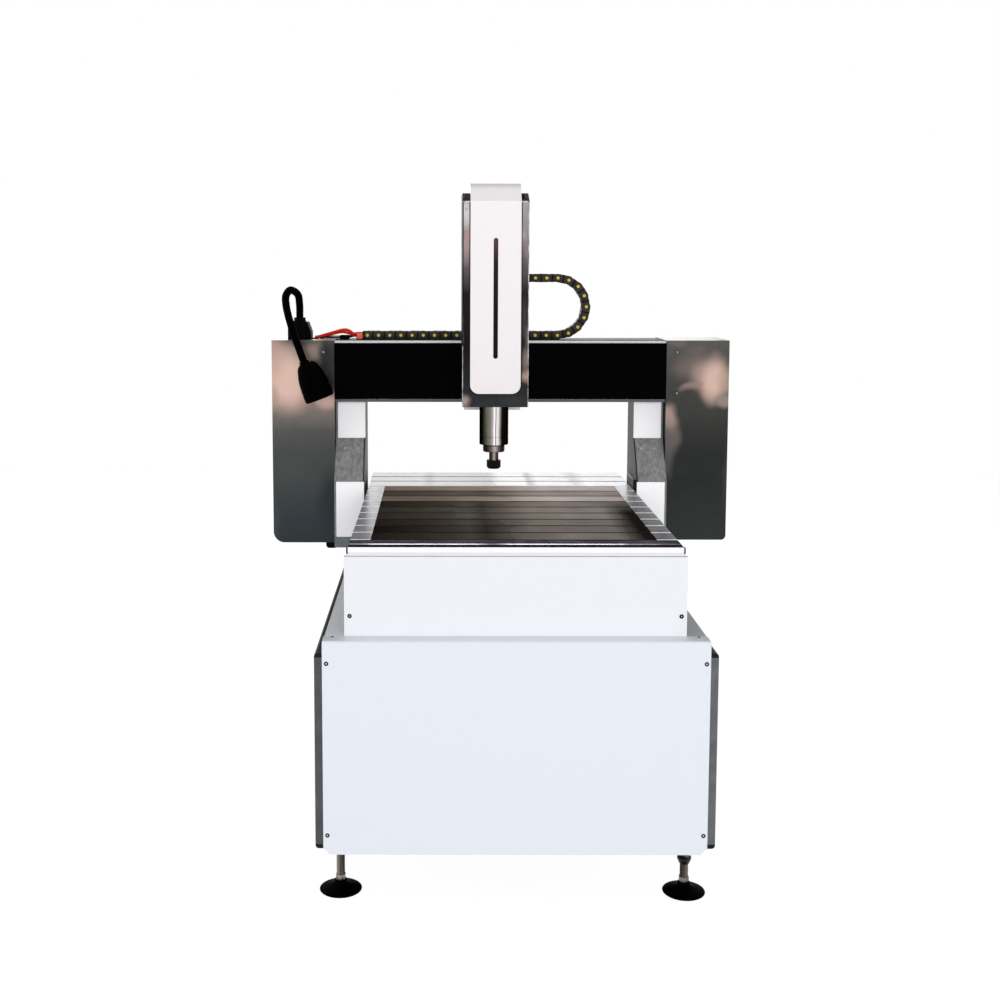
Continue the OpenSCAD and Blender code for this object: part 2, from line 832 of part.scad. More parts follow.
module chain_loop() {
    step = 180 / loop_n;
    chord = 2 * bend_r * sin(step / 2);
    color("#2b2b2e") difference() {
        union() {
            chain_slab(link_w - 5) translate([loop_x, loop_z]) for (i = [0:loop_n - 1])
                rotate(i * step) translate([0, -bend_r]) rotate(step / 2) link_2d(chord, link_h);
            for (i = [1:2:loop_n - 1]) {
                chain_slab(link_w) translate([loop_x, loop_z]) rotate(i * step)
                    translate([0, -bend_r]) rotate(step / 2) link_2d(chord, link_h - 1.6);
                for (k = [i, i + 1]) chain_slab(link_w + 1.2) translate([loop_x, loop_z])
                    rotate(k * step) translate([0, -bend_r]) circle(d = 9);
            }
        }
        chain_slab(link_w - 10) translate([loop_x, loop_z]) difference() {
            circle(r = bend_r + 7);
            circle(r = bend_r - 9);
        }
        chain_slab(link_w + 2) translate([loop_x - 2 * link_h, ch_z - link_h])
            square([2 * link_h, 4 * bend_r]);
    }
}

module chain_upper() {
    color("#2b2b2e") difference() {
        union() {
            chain_slab(link_w - 5) for (i = [1:top_n])
                translate([loop_x - i * link_p, up_z]) link_2d(link_p, link_h);
            for (i = [2:2:top_n]) translate([loop_x - i * link_p, 0, up_z]) link_sides(link_p);
        }
        chain_slab(link_w - 10) translate([up_x - link_h, up_z - 8])
            square([loop_x - up_x + 2 * link_h, 16]);
        chain_slab(link_w + 2) translate([loop_x, up_z - link_h]) square(2 * link_h);
    }
}

// Fixed end piece of the chain, standing on the beam.
module chain_end() {
    x1 = chain_x - link_h / 2 - gap;
    color("#c8484a") box(x1 - 20, x1, ch_y + 2, ch_y + link_w - 2, gb_z1, gb_z1 + 22);
}

// Tube swept along a smoothed path, as a closed ring mesh.
function unit(v) = v / norm(v);
function cat(p, i, t) = let (
    a = p[max(i - 1, 0)], b = p[i], c = p[i + 1], d = p[min(i + 2, len(p) - 1)])
    0.5 * (2 * b + (c - a) * t + (2 * a - 5 * b + 4 * c - d) * t * t
        + (3 * b - a - 3 * c + d) * t * t * t);
function smooth(p, n) = [for (i = [0:len(p) - 2]) for (k = [0:n - 1]) cat(p, i, k / n), p[len(p) - 1]];

module sweep(path, d, ref, n, m) {
    q = smooth(path, n);
    k = len(q);
    ring = [for (i = [0:k - 1]) let (
        t = unit(q[min(i + 1, k - 1)] - q[max(i - 1, 0)]),
        u = unit(ref - (ref * t) * t),
        v = cross(t, u))
        for (j = [0:m - 1]) q[i] + d / 2 * (cos(360 * j / m) * u + sin(360 * j / m) * v)];
    wall = [for (i = [0:k - 2]) for (j = [0:m - 1]) let (j2 = (j + 1) % m)
        [i * m + j, (i + 1) * m + j, (i + 1) * m + j2, i * m + j2]];
    cap0 = [for (j = [0:m - 1]) j];
    cap1 = [for (j = [0:m - 1]) (k - 1) * m + m - 1 - j];
    polyhedron(ring, concat(wall, [cap0, cap1]));
}

// Cables between the left housing and the fixed end of the chain.
module cables() {
    x0 = -house_x - 60;
    x1 = chain_x - link_h / 2 - 21.3;
    y = ch_y + 14;
    z = house_z1 + 4.5;
    r = [0, 1, 0.05];
    color("#c3342b") {
        sweep([[x0, y - 4, z], [x0 + 45, y - 6, z + 13], [x0 + 78, y - 3, z + 22],
               [x0 + 96, y, z + 20], [x1 - 9, y, z + 11.6], [x1, y, z + 11]], 8, r, 4, 10);
        sweep([[x0 - 4, y + 6, z], [x0 + 40, y + 6, z + 8], [x0 + 74, y + 8, z + 15],
               [x0 + 95, y + 9, z + 11.5], [x1 - 9, y + 9, z + 7.4], [x1, y + 9, z + 7]], 8, r, 4, 10);
    }
    color("#1a1a1c") sweep([[x0 + 14, y + 17, z], [x0 + 44, y + 18, z - 0.2], [x0 + 84, y + 19, z - 0.2],
        [x1 - 9, y + 19, z + 3.7], [x1, y + 19, z + 4]], 8, r, 4, 10);
}

// Magnet block of the work lamp with its cable gland.
module lamp_base() {
    x0 = lamp_x - 32;
    x1 = lamp_x + 35;
    h = 50;
    color("#2e2f31") difference() {
        union() {
            along_y(lamp_y - 30, lamp_y + 30) polygon([[x0, house_z1], [x1, house_z1],
                [x1, house_z1 + 22], [x1 - 10, house_z1 + h], [x0 + 4, house_z1 + h],
                [x0, house_z1 + h - 4]]);
            bar_z(lamp_x, lamp_y, house_z1 + h - eps, house_z1 + h + 4, 38);
            translate([lamp_x, lamp_y, house_z1 + h + 3]) cylinder(d = 34, h = 10, $fn = 6);
        }
        bar_z(lamp_x, lamp_y, neck_z, neck_z + 20, neck_d + 2 * gap);
    }
}

module lamp_neck() {
    z = neck_z;
    color("#242527") sweep([[lamp_x, lamp_y, z], [lamp_x, lamp_y, z + 10],
        [lamp_x, lamp_y, z + 22], [lamp_x, lamp_y - 3, z + 44.5],
        [lamp_x - 3, lamp_y - 19, z + 74.5], [lamp_x - 20, lamp_y - 53, z + 88],
        [lamp_x - 30, lamp_y - 82, z + 72], [lamp_x - 28, lamp_y - 97, z + 46],
        [lamp_x - 21, lamp_y - 108, z + 17], [lamp_x - 11, lamp_y - 117, z - 15],
        [lamp_x, shade_y + 1.5, z - 47], [lamp_x + 12, shade_y, z - 80.5],
        cap_p + 12 * cap_u, cap_p - 1.7 * cap_u],
        neck_d, [0.935, -0.355, 0], 3, 14);
}

// Lamp head turned about its own axis, with an off-centre socket for the neck.
module lamp_head() {
    r = lamp_d / 2;
    s = neck_r + 2 * gap;
    color("#1c1d1f") translate(cap_p) rotate([0, -lamp_tilt, 0]) rotate([180, 0, 0]) difference() {
        union() {
            translate([lamp_off, 0, 0]) rotate_extrude() polygon([[0, 0], [0.5 * r, 0],
                [0.64 * r, 7], [0.78 * r, 21], [0.93 * r, 45], [0.985 * r, 74], [r, lamp_l - 8],
                [0.985 * r, lamp_l - 3], [0.94 * r, lamp_l], [0.94 * r - 3, lamp_l],
                [0.94 * r - 3.5, lamp_l - 3], [0, lamp_l - 3]]);
            translate([0, 0, -5]) cylinder(r = s + 3, h = 12);
        }
        translate([0, 0, -6]) cylinder(r = s, h = 8);
    }
}

// Carriage plates: one behind the beam cover and one in front of it, joined
// over and under it, the ball nut's housing, and the bracket of the chain.
module x_carriage() {
    x0 = head_x - car_w / 2;
    x1 = head_x + car_w / 2;
    cx0 = up_x - 18;
    cx1 = cx0 + 50;
    za = car_z0 + arm_t;
    zt = car_z1 - arm_t;
    zs = up_z - link_h / 2 - gap;
    color("#4a4d50") {
        box(x0, x1, in_y0, in_y1, za + seam, zt - seam);
        box(x0, x1, out_y0, out_y1, za + seam, zt - seam);
        box(x0, x1, out_y0, in_y1, car_z0, za);
        box(x0, x1, out_y0, in_y1, zt, car_z1);
        difference() {
            box(head_x - 25, head_x + 25, in_y1 + seam, gb_y - 2, xs_z - 22, xs_z + 22);
            bar_x(head_x - 26, head_x + 26, xs_y, xs_z, screw_d + 2 * screw_gap);
        }
        box(cx0, cx1, in_y0, in_y0 + 8, car_z1 + seam, zs - 6 - seam);
        box(cx0, cx1, in_y0, ch_y + link_w, zs - 6, zs);
    }
}

module z_back_plate() {
    color("#8d9195") box(head_x - backplate_w / 2, head_x + backplate_w / 2, zp_y0, zp_y1, zp_z0, zp_z1);
}

// Upright rail or block with its base on the back plate.
module upright(y, z0, z1) {
    translate([0, y, z0]) linear_extrude(z1 - z0) mirror([0, 1]) children();
}

module z_rails() {
    color("#b9bdc2") for (s = [-1, 1])
        translate([head_x + s * zrail_x, 0, 0]) upright(zp_y0, zr_z0, zp_z1 - 90) rail_2d(zrail_w, zrail_h);
}

module z_blocks() {
    color("#9da2a7") for (s = [-1, 1]) for (z = [zs_z0 + 55, zs_z1 - 15 - zblock_l])
        translate([head_x + s * zrail_x, 0, 0]) upright(zp_y0, z, z + zblock_l)
            block_2d(zblock_w, zblock_h, zrail_w, zrail_h);
}

module z_screw_supports() {
    color("#2c2e30") difference() {
        union() {
            box(head_x - 24, head_x + 24, zp_y0 - 26, zp_y0, zp_z0, zp_z0 + 20);
            box(head_x - 24, head_x + 24, zp_y0 - 26, zp_y0, zp_z1 - 75, zp_z1 - 50);
            box(head_x - 34, head_x + 34, zs_y - 32, zp_y1, zp_z1, zp_z1 + 6);
        }
        bar_z(head_x, zs_y, zp_z0 - 1, zp_z1 - 40, screw_d + 2 * screw_gap);
        bar_z(head_x, zs_y, zp_z1 - 1, zp_z1 + 7, 38);
    }
}

module z_screw() {
    color("#c4c8cc") {
        bar_z(head_x, zs_y, zp_z0 + 2, zp_z1 - 30, screw_d);
        bar_z(head_x, zs_y, zp_z1 - 40, zp_z1 - 6, coupling_d - 1);
    }
}

module z_motor() {
    color("#1d1e20") translate([head_x, zs_y, zp_z1 + 6]) motor(motor_w, motor_l);
}

// Dark head frame: sheet box open below and behind, folded in along its back
// edges, and open under the hood.
module head_frame() {
    w = head_w / 2;
    t = sheet;
    y1 = out_y0;
    color("#4b4c50") difference() {
        along_x(head_x - w, head_x + w) polygon([[head_y, head_z0], [head_y, head_z1],
            [head_y + 55, head_z2], [y1, head_z2], [y1, head_z0]]);
        along_x(head_x - w + t, head_x + w - t) polygon([[head_y + t, head_z0 - 1], [head_y + t, head_z1 - 1],
            [head_y + 55, head_z2 - t], [y1 - t, head_z2 - t], [y1 - t, head_z0 - 1]]);
        box(head_x - backplate_w / 2 - gap, head_x + backplate_w / 2 + gap, head_y + 20, y1 + 1,
            head_z0 - 1, head_z2 - t);
        box(head_x - hood_w / 2 - gap, head_x + hood_w / 2 + gap, head_y - 1, y1 + 1,
            head_z1 - 4.6, head_z2 + 1);
    }
}

// White head cover: front sheet with a long slot, rising into the hood.
module head_cover() {
    w = hood_w / 2;
    t = 3;
    y0 = head_y - t;
    y1 = out_y0;
    sm = (hslot_l - hslot_w) / 2;
    sz = hood_z0 + 256;
    color("#f3f1f2") difference() {
        intersection() {
            along_x(head_x - w, head_x + w) polygon([[y0, hood_z0], [y0, head_z1], [y0 + 47, hood_z],
                [y1, hood_z], [y1, head_z1 - 4.3], [head_y, head_z1 - 4.3], [head_y, hood_z0]]);
            along_y(y0 - 1, y1 + 1)
                rrect(head_x - w, head_x + w, hood_z0, hood_z + 1, hood_r, hood_r, 0, 0);
        }
        along_x(head_x - w + t, head_x + w - t) polygon([[head_y, head_z1 - 6], [head_y, head_z1 - 1],
            [head_y + 45, hood_z - t], [y1 + 1, hood_z - t], [y1 + 1, head_z1 - 6]]);
        box(head_x - hslot_w / 2, head_x + hslot_w / 2, y0 - 1, head_y + 1, sz - sm, sz + sm);
        for (s = [-1, 1]) bar_y(head_x, y0 - 1, head_y + 1, sz + s * sm, hslot_w);
    }
}

// Slide plate that carries the clamp, with the housing of the ball nut.
module z_slide_plate() {
    color("#6d7074") difference() {
        union() {
            box(head_x - slide_w / 2, head_x + slide_w / 2, sl_y0, sl_y1, zs_z0, zs_z1);
            box(head_x - 22, head_x + 22, sl_y1 - eps, zp_y0 - 2, zs_z0 + 150, zs_z0 + 190);
        }
        bar_z(head_x, zs_y, zs_z0 + 149, zs_z0 + 191, screw_d + 2 * screw_gap);
    }
}

// Split clamp round the spindle.
module spindle_clamp() {
    color("#55585b") difference() {
        box(head_x - 55, head_x + 55, sp_y - 48, sl_y0, zs_z0 - 15, zs_z0 + 70);
        bar_z(head_x, sp_y, zs_z0 - 16, zs_z0 + 71, sp_d + 2 * screw_gap);
        box(head_x - 1.5, head_x + 1.5, sp_y - 49, sp_y, zs_z0 - 16, zs_z0 + 71);
    }
}

module spindle_body() {
    color("#c2c4c6") translate([head_x, sp_y, 0]) difference() {
        rotate_extrude() polygon([[0, sp_z - nose_l], [nose_d / 2 - 2, sp_z - nose_l],
            [nose_d / 2, sp_z - nose_l + 2], [nose_d / 2, sp_z - 3], [nose_d / 2 + 3, sp_z],
            [sp_d / 2 - 1, sp_z], [sp_d / 2, sp_z + 1], [sp_d / 2, sp_top - 2],
            [sp_d / 2 - 2, sp_top], [12, sp_top], [12, sp_top + 14], [0, sp_top + 14]]);
        translate([0, 0, sp_z - nose_l - 1]) cylinder(d = shaft_d + 2 * screw_gap, h = nose_l + 13);
    }
}

module spindle_shaft() {
    z0 = sp_z - nose_l - shaft_l;
    color("#8b8d8f") bar_z(head_x, sp_y, z0 - collet_h * 0.3, sp_z + 10, shaft_d);
}

// Collet nut with spanner slots and the tool's bore.
module collet_nut() {
    z1 = sp_z - nose_l - shaft_l;
    z0 = z1 - collet_h;
    color("#26272a") translate([head_x, sp_y, 0]) difference() {
        rotate_extrude() polygon([[0, z0], [collet_d / 2 - 4, z0], [collet_d / 2, z0 + 5],
            [collet_d / 2, z1 - 1.5], [collet_d / 2 - 1.5, z1], [0, z1]]);
        translate([0, 0, z1 - collet_h * 0.3]) cylinder(d = shaft_d + 2 * screw_gap, h = collet_h);
        translate([0, 0, z0 - 1]) cylinder(d = tool_d, h = collet_h);
        for (a = [0:60:300]) rotate([0, 0, a])
            translate([collet_d / 2 - 1.8, -2.5, z0 + 8]) cube([5, 5, collet_h]);
    }
}

base_frame();
front_panel();
rear_panel();
deck_plate();
side_covers();
upper_front_panel();
upper_rear_panel();
side_beams();
bed_crossbars();
bed_plate();
bed_table();
y_rails();
y_screw_supports();
y_motors();
base_fasteners();
foot_front_left();
foot_front_right();
foot_rear_left();
foot_rear_right();
y_screw_left();
y_screw_right();
columns();
column_covers();
column_feet();
y_carriage_plates();
y_blocks();
end_plates();
housing_left();
housing_right();
gantry_beam();
beam_cover();
cover_trim();
x_rails();
x_screw_supports();
x_motor();
gantry_screws();
chain_lower();
chain_loop();
chain_upper();
chain_end();
cables();
lamp_base();
lamp_neck();
lamp_head();
x_screw();
x_carriage();
x_blocks();
z_back_plate();
z_rails();
z_screw_supports();
z_motor();
head_frame();
head_cover();
z_screw();
z_slide_plate();
z_blocks();
spindle_clamp();
spindle_body();
spindle_shaft();
collet_nut();
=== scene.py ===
# %% [markdown]
# # A gantry CNC milling machine
# The machine stands on four levelling feet. A closed steel base carries a
# T-slot table, and a gantry rolls along it with an enclosed milling head.
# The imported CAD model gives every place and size, in metres, with the origin
# on the floor, +X to the operator's right, +Y away from them and +Z up.

# %% Load the frame
import json
import math

import bmesh
import bpy
from mathutils import Matrix, Vector

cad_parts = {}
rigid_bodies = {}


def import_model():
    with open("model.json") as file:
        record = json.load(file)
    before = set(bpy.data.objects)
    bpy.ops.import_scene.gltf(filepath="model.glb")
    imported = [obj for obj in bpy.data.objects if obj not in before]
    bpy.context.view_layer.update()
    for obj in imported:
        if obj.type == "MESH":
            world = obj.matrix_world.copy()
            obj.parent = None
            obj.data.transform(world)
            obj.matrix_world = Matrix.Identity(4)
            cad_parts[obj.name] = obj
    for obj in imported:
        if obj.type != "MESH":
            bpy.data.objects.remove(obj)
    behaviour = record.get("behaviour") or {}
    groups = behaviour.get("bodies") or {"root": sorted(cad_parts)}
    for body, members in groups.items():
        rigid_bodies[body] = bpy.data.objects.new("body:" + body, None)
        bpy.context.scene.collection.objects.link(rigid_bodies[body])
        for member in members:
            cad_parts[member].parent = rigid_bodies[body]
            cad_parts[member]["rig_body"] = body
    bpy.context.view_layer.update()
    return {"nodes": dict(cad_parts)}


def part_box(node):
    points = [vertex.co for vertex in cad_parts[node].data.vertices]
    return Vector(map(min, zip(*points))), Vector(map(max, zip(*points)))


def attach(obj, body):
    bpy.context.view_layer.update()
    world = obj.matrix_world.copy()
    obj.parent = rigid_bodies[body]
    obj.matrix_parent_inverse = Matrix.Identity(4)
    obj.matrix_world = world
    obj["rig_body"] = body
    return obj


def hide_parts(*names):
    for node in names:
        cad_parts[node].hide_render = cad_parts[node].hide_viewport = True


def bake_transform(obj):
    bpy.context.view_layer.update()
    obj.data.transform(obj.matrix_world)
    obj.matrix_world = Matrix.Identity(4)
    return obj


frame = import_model()
MM = 0.001

# %% [markdown]
# The camera stands a little above the table and looks almost straight at the
# front. Its sideways and downward shift frame the machine without turning it,
# so upright edges stay nearly upright.

# %% Camera
LENS_MM = 46.26
CAMERA_PLACE = Vector((-0.1655, -3.4477, 1.4531))
CAMERA_TURN = (math.radians(90 - 5.525), -0.0005, math.radians(0.147))
camera_data = bpy.data.cameras.new("camera")
camera_data.sensor_width = 36
camera_data.lens = LENS_MM
camera_data.shift_x = 0.0605
camera_data.shift_y = -0.102
camera_data.clip_end = 60
camera = bpy.data.objects.new("camera", camera_data)
camera.location = CAMERA_PLACE
camera.rotation_euler = CAMERA_TURN
bpy.context.scene.collection.objects.link(camera)
bpy.context.scene.camera = camera
bpy.context.scene.view_settings.view_transform = "Standard"
print("camera at", tuple(round(v, 3) for v in CAMERA_PLACE))

# %% [markdown]
# Every finish is a small node tree, so three helpers come first: one turns a
# hex colour into the linear values that the shader wants, one adds a node with
# its settings and links, and one starts a material on its shader.

# %% Node helpers
def linear(hex_colour, alpha=1.0):
    """The linear colour for an sRGB hex value such as '#a0b1c2'."""
    values = [int(hex_colour[i:i + 2], 16) / 255 for i in (1, 3, 5)]
    curve = [v / 12.92 if v <= 0.04045 else ((v + 0.055) / 1.055) ** 2.4 for v in values]
    return (*curve, alpha)


def add(tree, kind, inputs=None, **settings):
    """Adds one node, sets it, and links or fills its inputs."""
    node = tree.nodes.new(kind)
    for name, value in settings.items():
        setattr(node, name, value)
    for name, value in (inputs or {}).items():
        if isinstance(value, bpy.types.NodeSocket):
            tree.links.new(value, node.inputs[name])
        else:
            node.inputs[name].default_value = value
    return node


def start(name, **sockets):
    """A new material: its node tree and its shader, with plain values set."""
    material = bpy.data.materials.new(name)
    material.use_nodes = True
    shader = material.node_tree.nodes["Principled BSDF"]
    for socket, value in sockets.items():
        shader.inputs[socket.replace("_", " ")].default_value = value
    return material, material.node_tree, shader


def place(tree, grain_mm, stretch=(1, 1, 1)):
    """Object coordinates scaled so that one unit is one grain."""
    where = add(tree, "ShaderNodeTexCoord").outputs["Object"]
    scale = [1 / (grain_mm * MM * s) for s in stretch]
    return add(tree, "ShaderNodeMapping", {"Vector": where, "Scale": scale}).outputs["Vector"]


def grain(tree, grain_mm, stretch=(1, 1, 1), detail=4.0, rough=0.55):
    """Noise whose spots are about grain_mm across."""
    return add(tree, "ShaderNodeTexNoise", {
        "Vector": place(tree, grain_mm, stretch), "Scale": 1.0,
        "Detail": detail, "Roughness": rough}).outputs["Fac"]


def span(tree, value, low, high, to_low, to_high):
    """Maps a value from one range to another, clamped."""
    return add(tree, "ShaderNodeMapRange", {
        "Value": value, "From Min": low, "From Max": high,
        "To Min": to_low, "To Max": to_high}).outputs["Result"]


def blend_colour(tree, share, first, second):
    """Two colours, hex or sockets, mixed by a share."""
    mix = add(tree, "ShaderNodeMix", {"Factor": share}, data_type="RGBA")
    for socket, colour in ((mix.inputs[6], first), (mix.inputs[7], second)):
        if isinstance(colour, str):
            socket.default_value = linear(colour)
        else:
            tree.links.new(colour, socket)
    return mix.outputs[2]


def ramp(tree, value, stops, kind="LINEAR"):
    """A colour for each place on a 0 to 1 scale, from (place, hex) stops."""
    node = add(tree, "ShaderNodeValToRGB", {"Fac": value})
    node.color_ramp.interpolation = kind
    bar = node.color_ramp.elements
    while len(bar) < len(stops):
        bar.new(1.0)
    for element, (at, colour) in zip(bar, stops):
        element.position = at
        element.color = linear(colour)
    return node.outputs["Color"]


def relief(tree, shader, height, depth_mm, strength=1.0):
    """Bump from a height pattern whose full swing is depth_mm."""
    bump = add(tree, "ShaderNodeBump", {
        "Height": height, "Distance": depth_mm * MM, "Strength": strength})
    tree.links.new(bump.outputs["Normal"], shader.inputs["Normal"])


def plain_finish(name, colours, grain_mm, metallic=0.0, roughness=(0.4, 0.5),
                 depth_mm=0.0, stretch=(1, 1, 1), **sockets):
    """A finish with one grain that moves its colour, roughness and relief."""
    material, tree, shader = start(name, Metallic=metallic, **sockets)
    spots = grain(tree, grain_mm, stretch)
    tree.links.new(blend_colour(tree, span(tree, spots, 0.3, 0.7, 0, 1), *colours),
                   shader.inputs["Base Color"])
    tree.links.new(span(tree, spots, 0.3, 0.7, *roughness), shader.inputs["Roughness"])
    if depth_mm:
        relief(tree, shader, spots, depth_mm)
    return material


print("node helpers ready")

# %% [markdown]
# The base, the table skirts and the column covers are sheet steel with a
# white powder coat. The powder melts into a slightly wavy skin, so the finish
# is an even cool white with very shallow orange peel about 2 mm across, a
# satin base and a thin clear gloss over it.

# %% White powder coat
panel_white = plain_finish("cool_white_powder_coated_steel", ("#dbdfe7", "#e0e4eb"), 2.2,
                           roughness=(0.38, 0.46), depth_mm=0.012, Coat_Weight=0.1,
                           Coat_Roughness=0.2)
skirt_white = plain_finish("white_powder_coated_steel", ("#e1e3e8", "#e6e8ec"), 2.2,
                           roughness=(0.36, 0.44), depth_mm=0.012, Coat_Weight=0.15,
                           Coat_Roughness=0.15)
# The column covers take a whiter copy of the coat: painted light that offsets the shade under the
# beam.
cover_white_painted_light = plain_finish("white_powder_coat_painted_light", ("#fafaff", "#ffffff"), 2.2,
                           roughness=(0.36, 0.44), depth_mm=0.012, Coat_Weight=0.15,
                           Coat_Roughness=0.15)


def gloss_enamel():
    """White enamel, with painted shade that greys the rounded top edge."""
    material, tree, shader = start("white_gloss_enamel", Coat_Weight=0.3, Coat_Roughness=0.08)
    height = add(tree, "ShaderNodeSeparateXYZ", {
        "Vector": add(tree, "ShaderNodeTexCoord").outputs["Object"]}).outputs["Z"]
    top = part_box("head_cover")[1].z
    skin = grain(tree, 6.0)
    tone = blend_colour(tree, span(tree, skin, 0.3, 0.7, 0, 1), "#ebe6e8", "#efeaec")
    # The top 16 mm is mixed towards grey as painted shade.
    edge = span(tree, height, top - 0.016, top - 0.001, 0, 0.8)
    tree.links.new(blend_colour(tree, edge, tone, "#b3b0ae"), shader.inputs["Base Color"])
    tree.links.new(span(tree, skin, 0.3, 0.7, 0.22, 0.28), shader.inputs["Roughness"])
    relief(tree, shader, skin, 0.008)
    return material


head_enamel = gloss_enamel()
print("white finishes made")

# %% [markdown]
# The end housings and the head's frame are thin dark grey steel with a smoky
# polish. Its changing tone is painted reflection: darker and bluer towards the
# bottom, with broad warm patches higher up. The tone starts as a ramp over
# height, and each reflection patch is an ellipse with soft edges mixed over it.
# Before that the coordinates are pushed about a little by two noises: a wide
# one bends the patches, and a fine one breaks their edges into a pepper of grit
# marks. The grit is about 2 mm, coarser than real so that it shows.

# %% Polished steel with painted reflections
def steel_with_painted_reflections(name, heights, reflection_patches, roughness, bend_mm=34, grit_mm=16, metallic=0.94):
    """Polished steel with painted reflections: (height, hex) tones and (x, z, rx, rz, turn, hex,
    share) reflection patches in mm.
    """
    material, tree, shader = start(name, Metallic=metallic, Specular_IOR_Level=0.3)
    where = add(tree, "ShaderNodeTexCoord").outputs["Object"]
    for size_mm, push_mm, detail in ((85.0, bend_mm, 2.0), (2.1, grit_mm, 1.0)):
        noise = add(tree, "ShaderNodeTexNoise", {
            "Vector": place(tree, size_mm), "Scale": 1.0, "Detail": detail}).outputs["Color"]
        swing = add(tree, "ShaderNodeVectorMath", {0: noise, 1: (0.5, 0.5, 0.5)},
                    operation="SUBTRACT").outputs[0]
        push = add(tree, "ShaderNodeVectorMath", {0: swing, 1: (push_mm * MM,) * 3},
                   operation="MULTIPLY").outputs[0]
        where = add(tree, "ShaderNodeVectorMath", {0: where, 1: push}, operation="ADD").outputs[0]
    # The ramp over height is painted reflection, darker towards the bottom.
    low, high = heights[0][0], heights[-1][0]
    height = add(tree, "ShaderNodeSeparateXYZ", {"Vector": where}).outputs["Z"]
    tone = ramp(tree, span(tree, height, low * MM, high * MM, 0, 1),
                [((z - low) / (high - low), colour) for z, colour in heights])
    # Each patch is a painted reflection mixed over the tone.
    for x, z, wide, tall, turn, colour, share in reflection_patches:
        spot = add(tree, "ShaderNodeMapping", {
            "Vector": where, "Location": (x * MM, 0.235, z * MM),
            "Rotation": (0, math.radians(turn), 0), "Scale": (wide * MM, 0.4, tall * MM)},
            vector_type="TEXTURE").outputs["Vector"]
        far = add(tree, "ShaderNodeVectorMath", {0: spot}, operation="LENGTH").outputs["Value"]
        near = add(tree, "ShaderNodeMapRange", {
            "Value": far, "From Min": 0.25, "From Max": 1.0, "To Min": share, "To Max": 0.0},
            interpolation_type="SMOOTHSTEP").outputs["Result"]
        tone = blend_colour(tree, near, tone, colour)
    pepper = grain(tree, 1.6, detail=2.0)
    marks = span(tree, pepper, 0.56, 0.8, 0, 0.16)
    tree.links.new(blend_colour(tree, marks, tone, "#c2bcb8"), shader.inputs["Base Color"])
    tree.links.new(span(tree, pepper, 0.3, 0.7, *roughness), shader.inputs["Roughness"])
    relief(tree, shader, pepper, 0.006)
    return material


housing_left_steel = steel_with_painted_reflections(
    "polished_steel_painted_reflections_left",
    [(674, "#30363a"), (740, "#333a3d"), (800, "#3b4143"), (860, "#434746"), (940, "#484949"),
     (1000, "#545452"), (1040, "#6f6a67"), (1090, "#8d7c73"), (1160, "#8a7b73"), (1263, "#6a625d")],
    [(-612, 1152, 105, 128, 0, "#dcbbad", 1.0), (-655, 1215, 50, 90, 0, "#c6a698", 0.7),
     (-500, 1088, 48, 34, -8, "#ba9c92", 0.85), (-545, 1230, 34, 34, 0, "#96857e", 0.7),
     (-572, 1264, 70, 26, 0, "#5a5653", 0.8), (-500, 1215, 36, 92, 0, "#2e3130", 1.0),
     (-484, 1150, 26, 70, 0, "#262b2a", 0.9), (-655, 1095, 22, 60, 0, "#a58c82", 0.5),
     (-474, 1205, 26, 105, 0, "#2e3432", 1.0),
     (-505, 1090, 46, 26, 0, "#c2a79d", 0.8), (-484, 800, 60, 130, 0, "#282f33", 0.8),
     (-657, 730, 26, 110, 0, "#484b4d", 0.5),
     (-600, 900, 60, 60, 0, "#4c504f", 0.3)], (0.3, 0.4))
housing_right_steel = steel_with_painted_reflections(
    "polished_steel_painted_reflections_right",
    [(683, "#303433"), (780, "#2b302e"), (860, "#272d2b"), (940, "#2a2c2b"), (1000, "#333433"),
     (1060, "#3d3d3b"), (1120, "#434140"), (1200, "#4d4b48"), (1263, "#5b5855")],
    [(560, 1190, 90, 60, -18, "#766a66", 0.85), (585, 1160, 56, 66, 0, "#a58e84", 0.9),
     (614, 1150, 52, 92, 6, "#d4b3a6", 1.0), (644, 1150, 30, 70, 0, "#b09a88", 0.6),
     (548, 1130, 52, 17, -16, "#93807b", 0.8), (645, 1086, 34, 26, 0, "#9c8f86", 0.8),
     (505, 1255, 40, 16, 0, "#6d6867", 0.7), (560, 1240, 50, 16, -10, "#6a615e", 0.6),
     (486, 1042, 42, 52, 0, "#a68d85", 1.0), (492, 985, 40, 70, 0, "#7d716d", 0.6),
     (482, 935, 30, 90, 0, "#5c5c5c", 0.7), (655, 860, 16, 120, 0, "#3a3d3c", 0.7)],
    (0.3, 0.4))
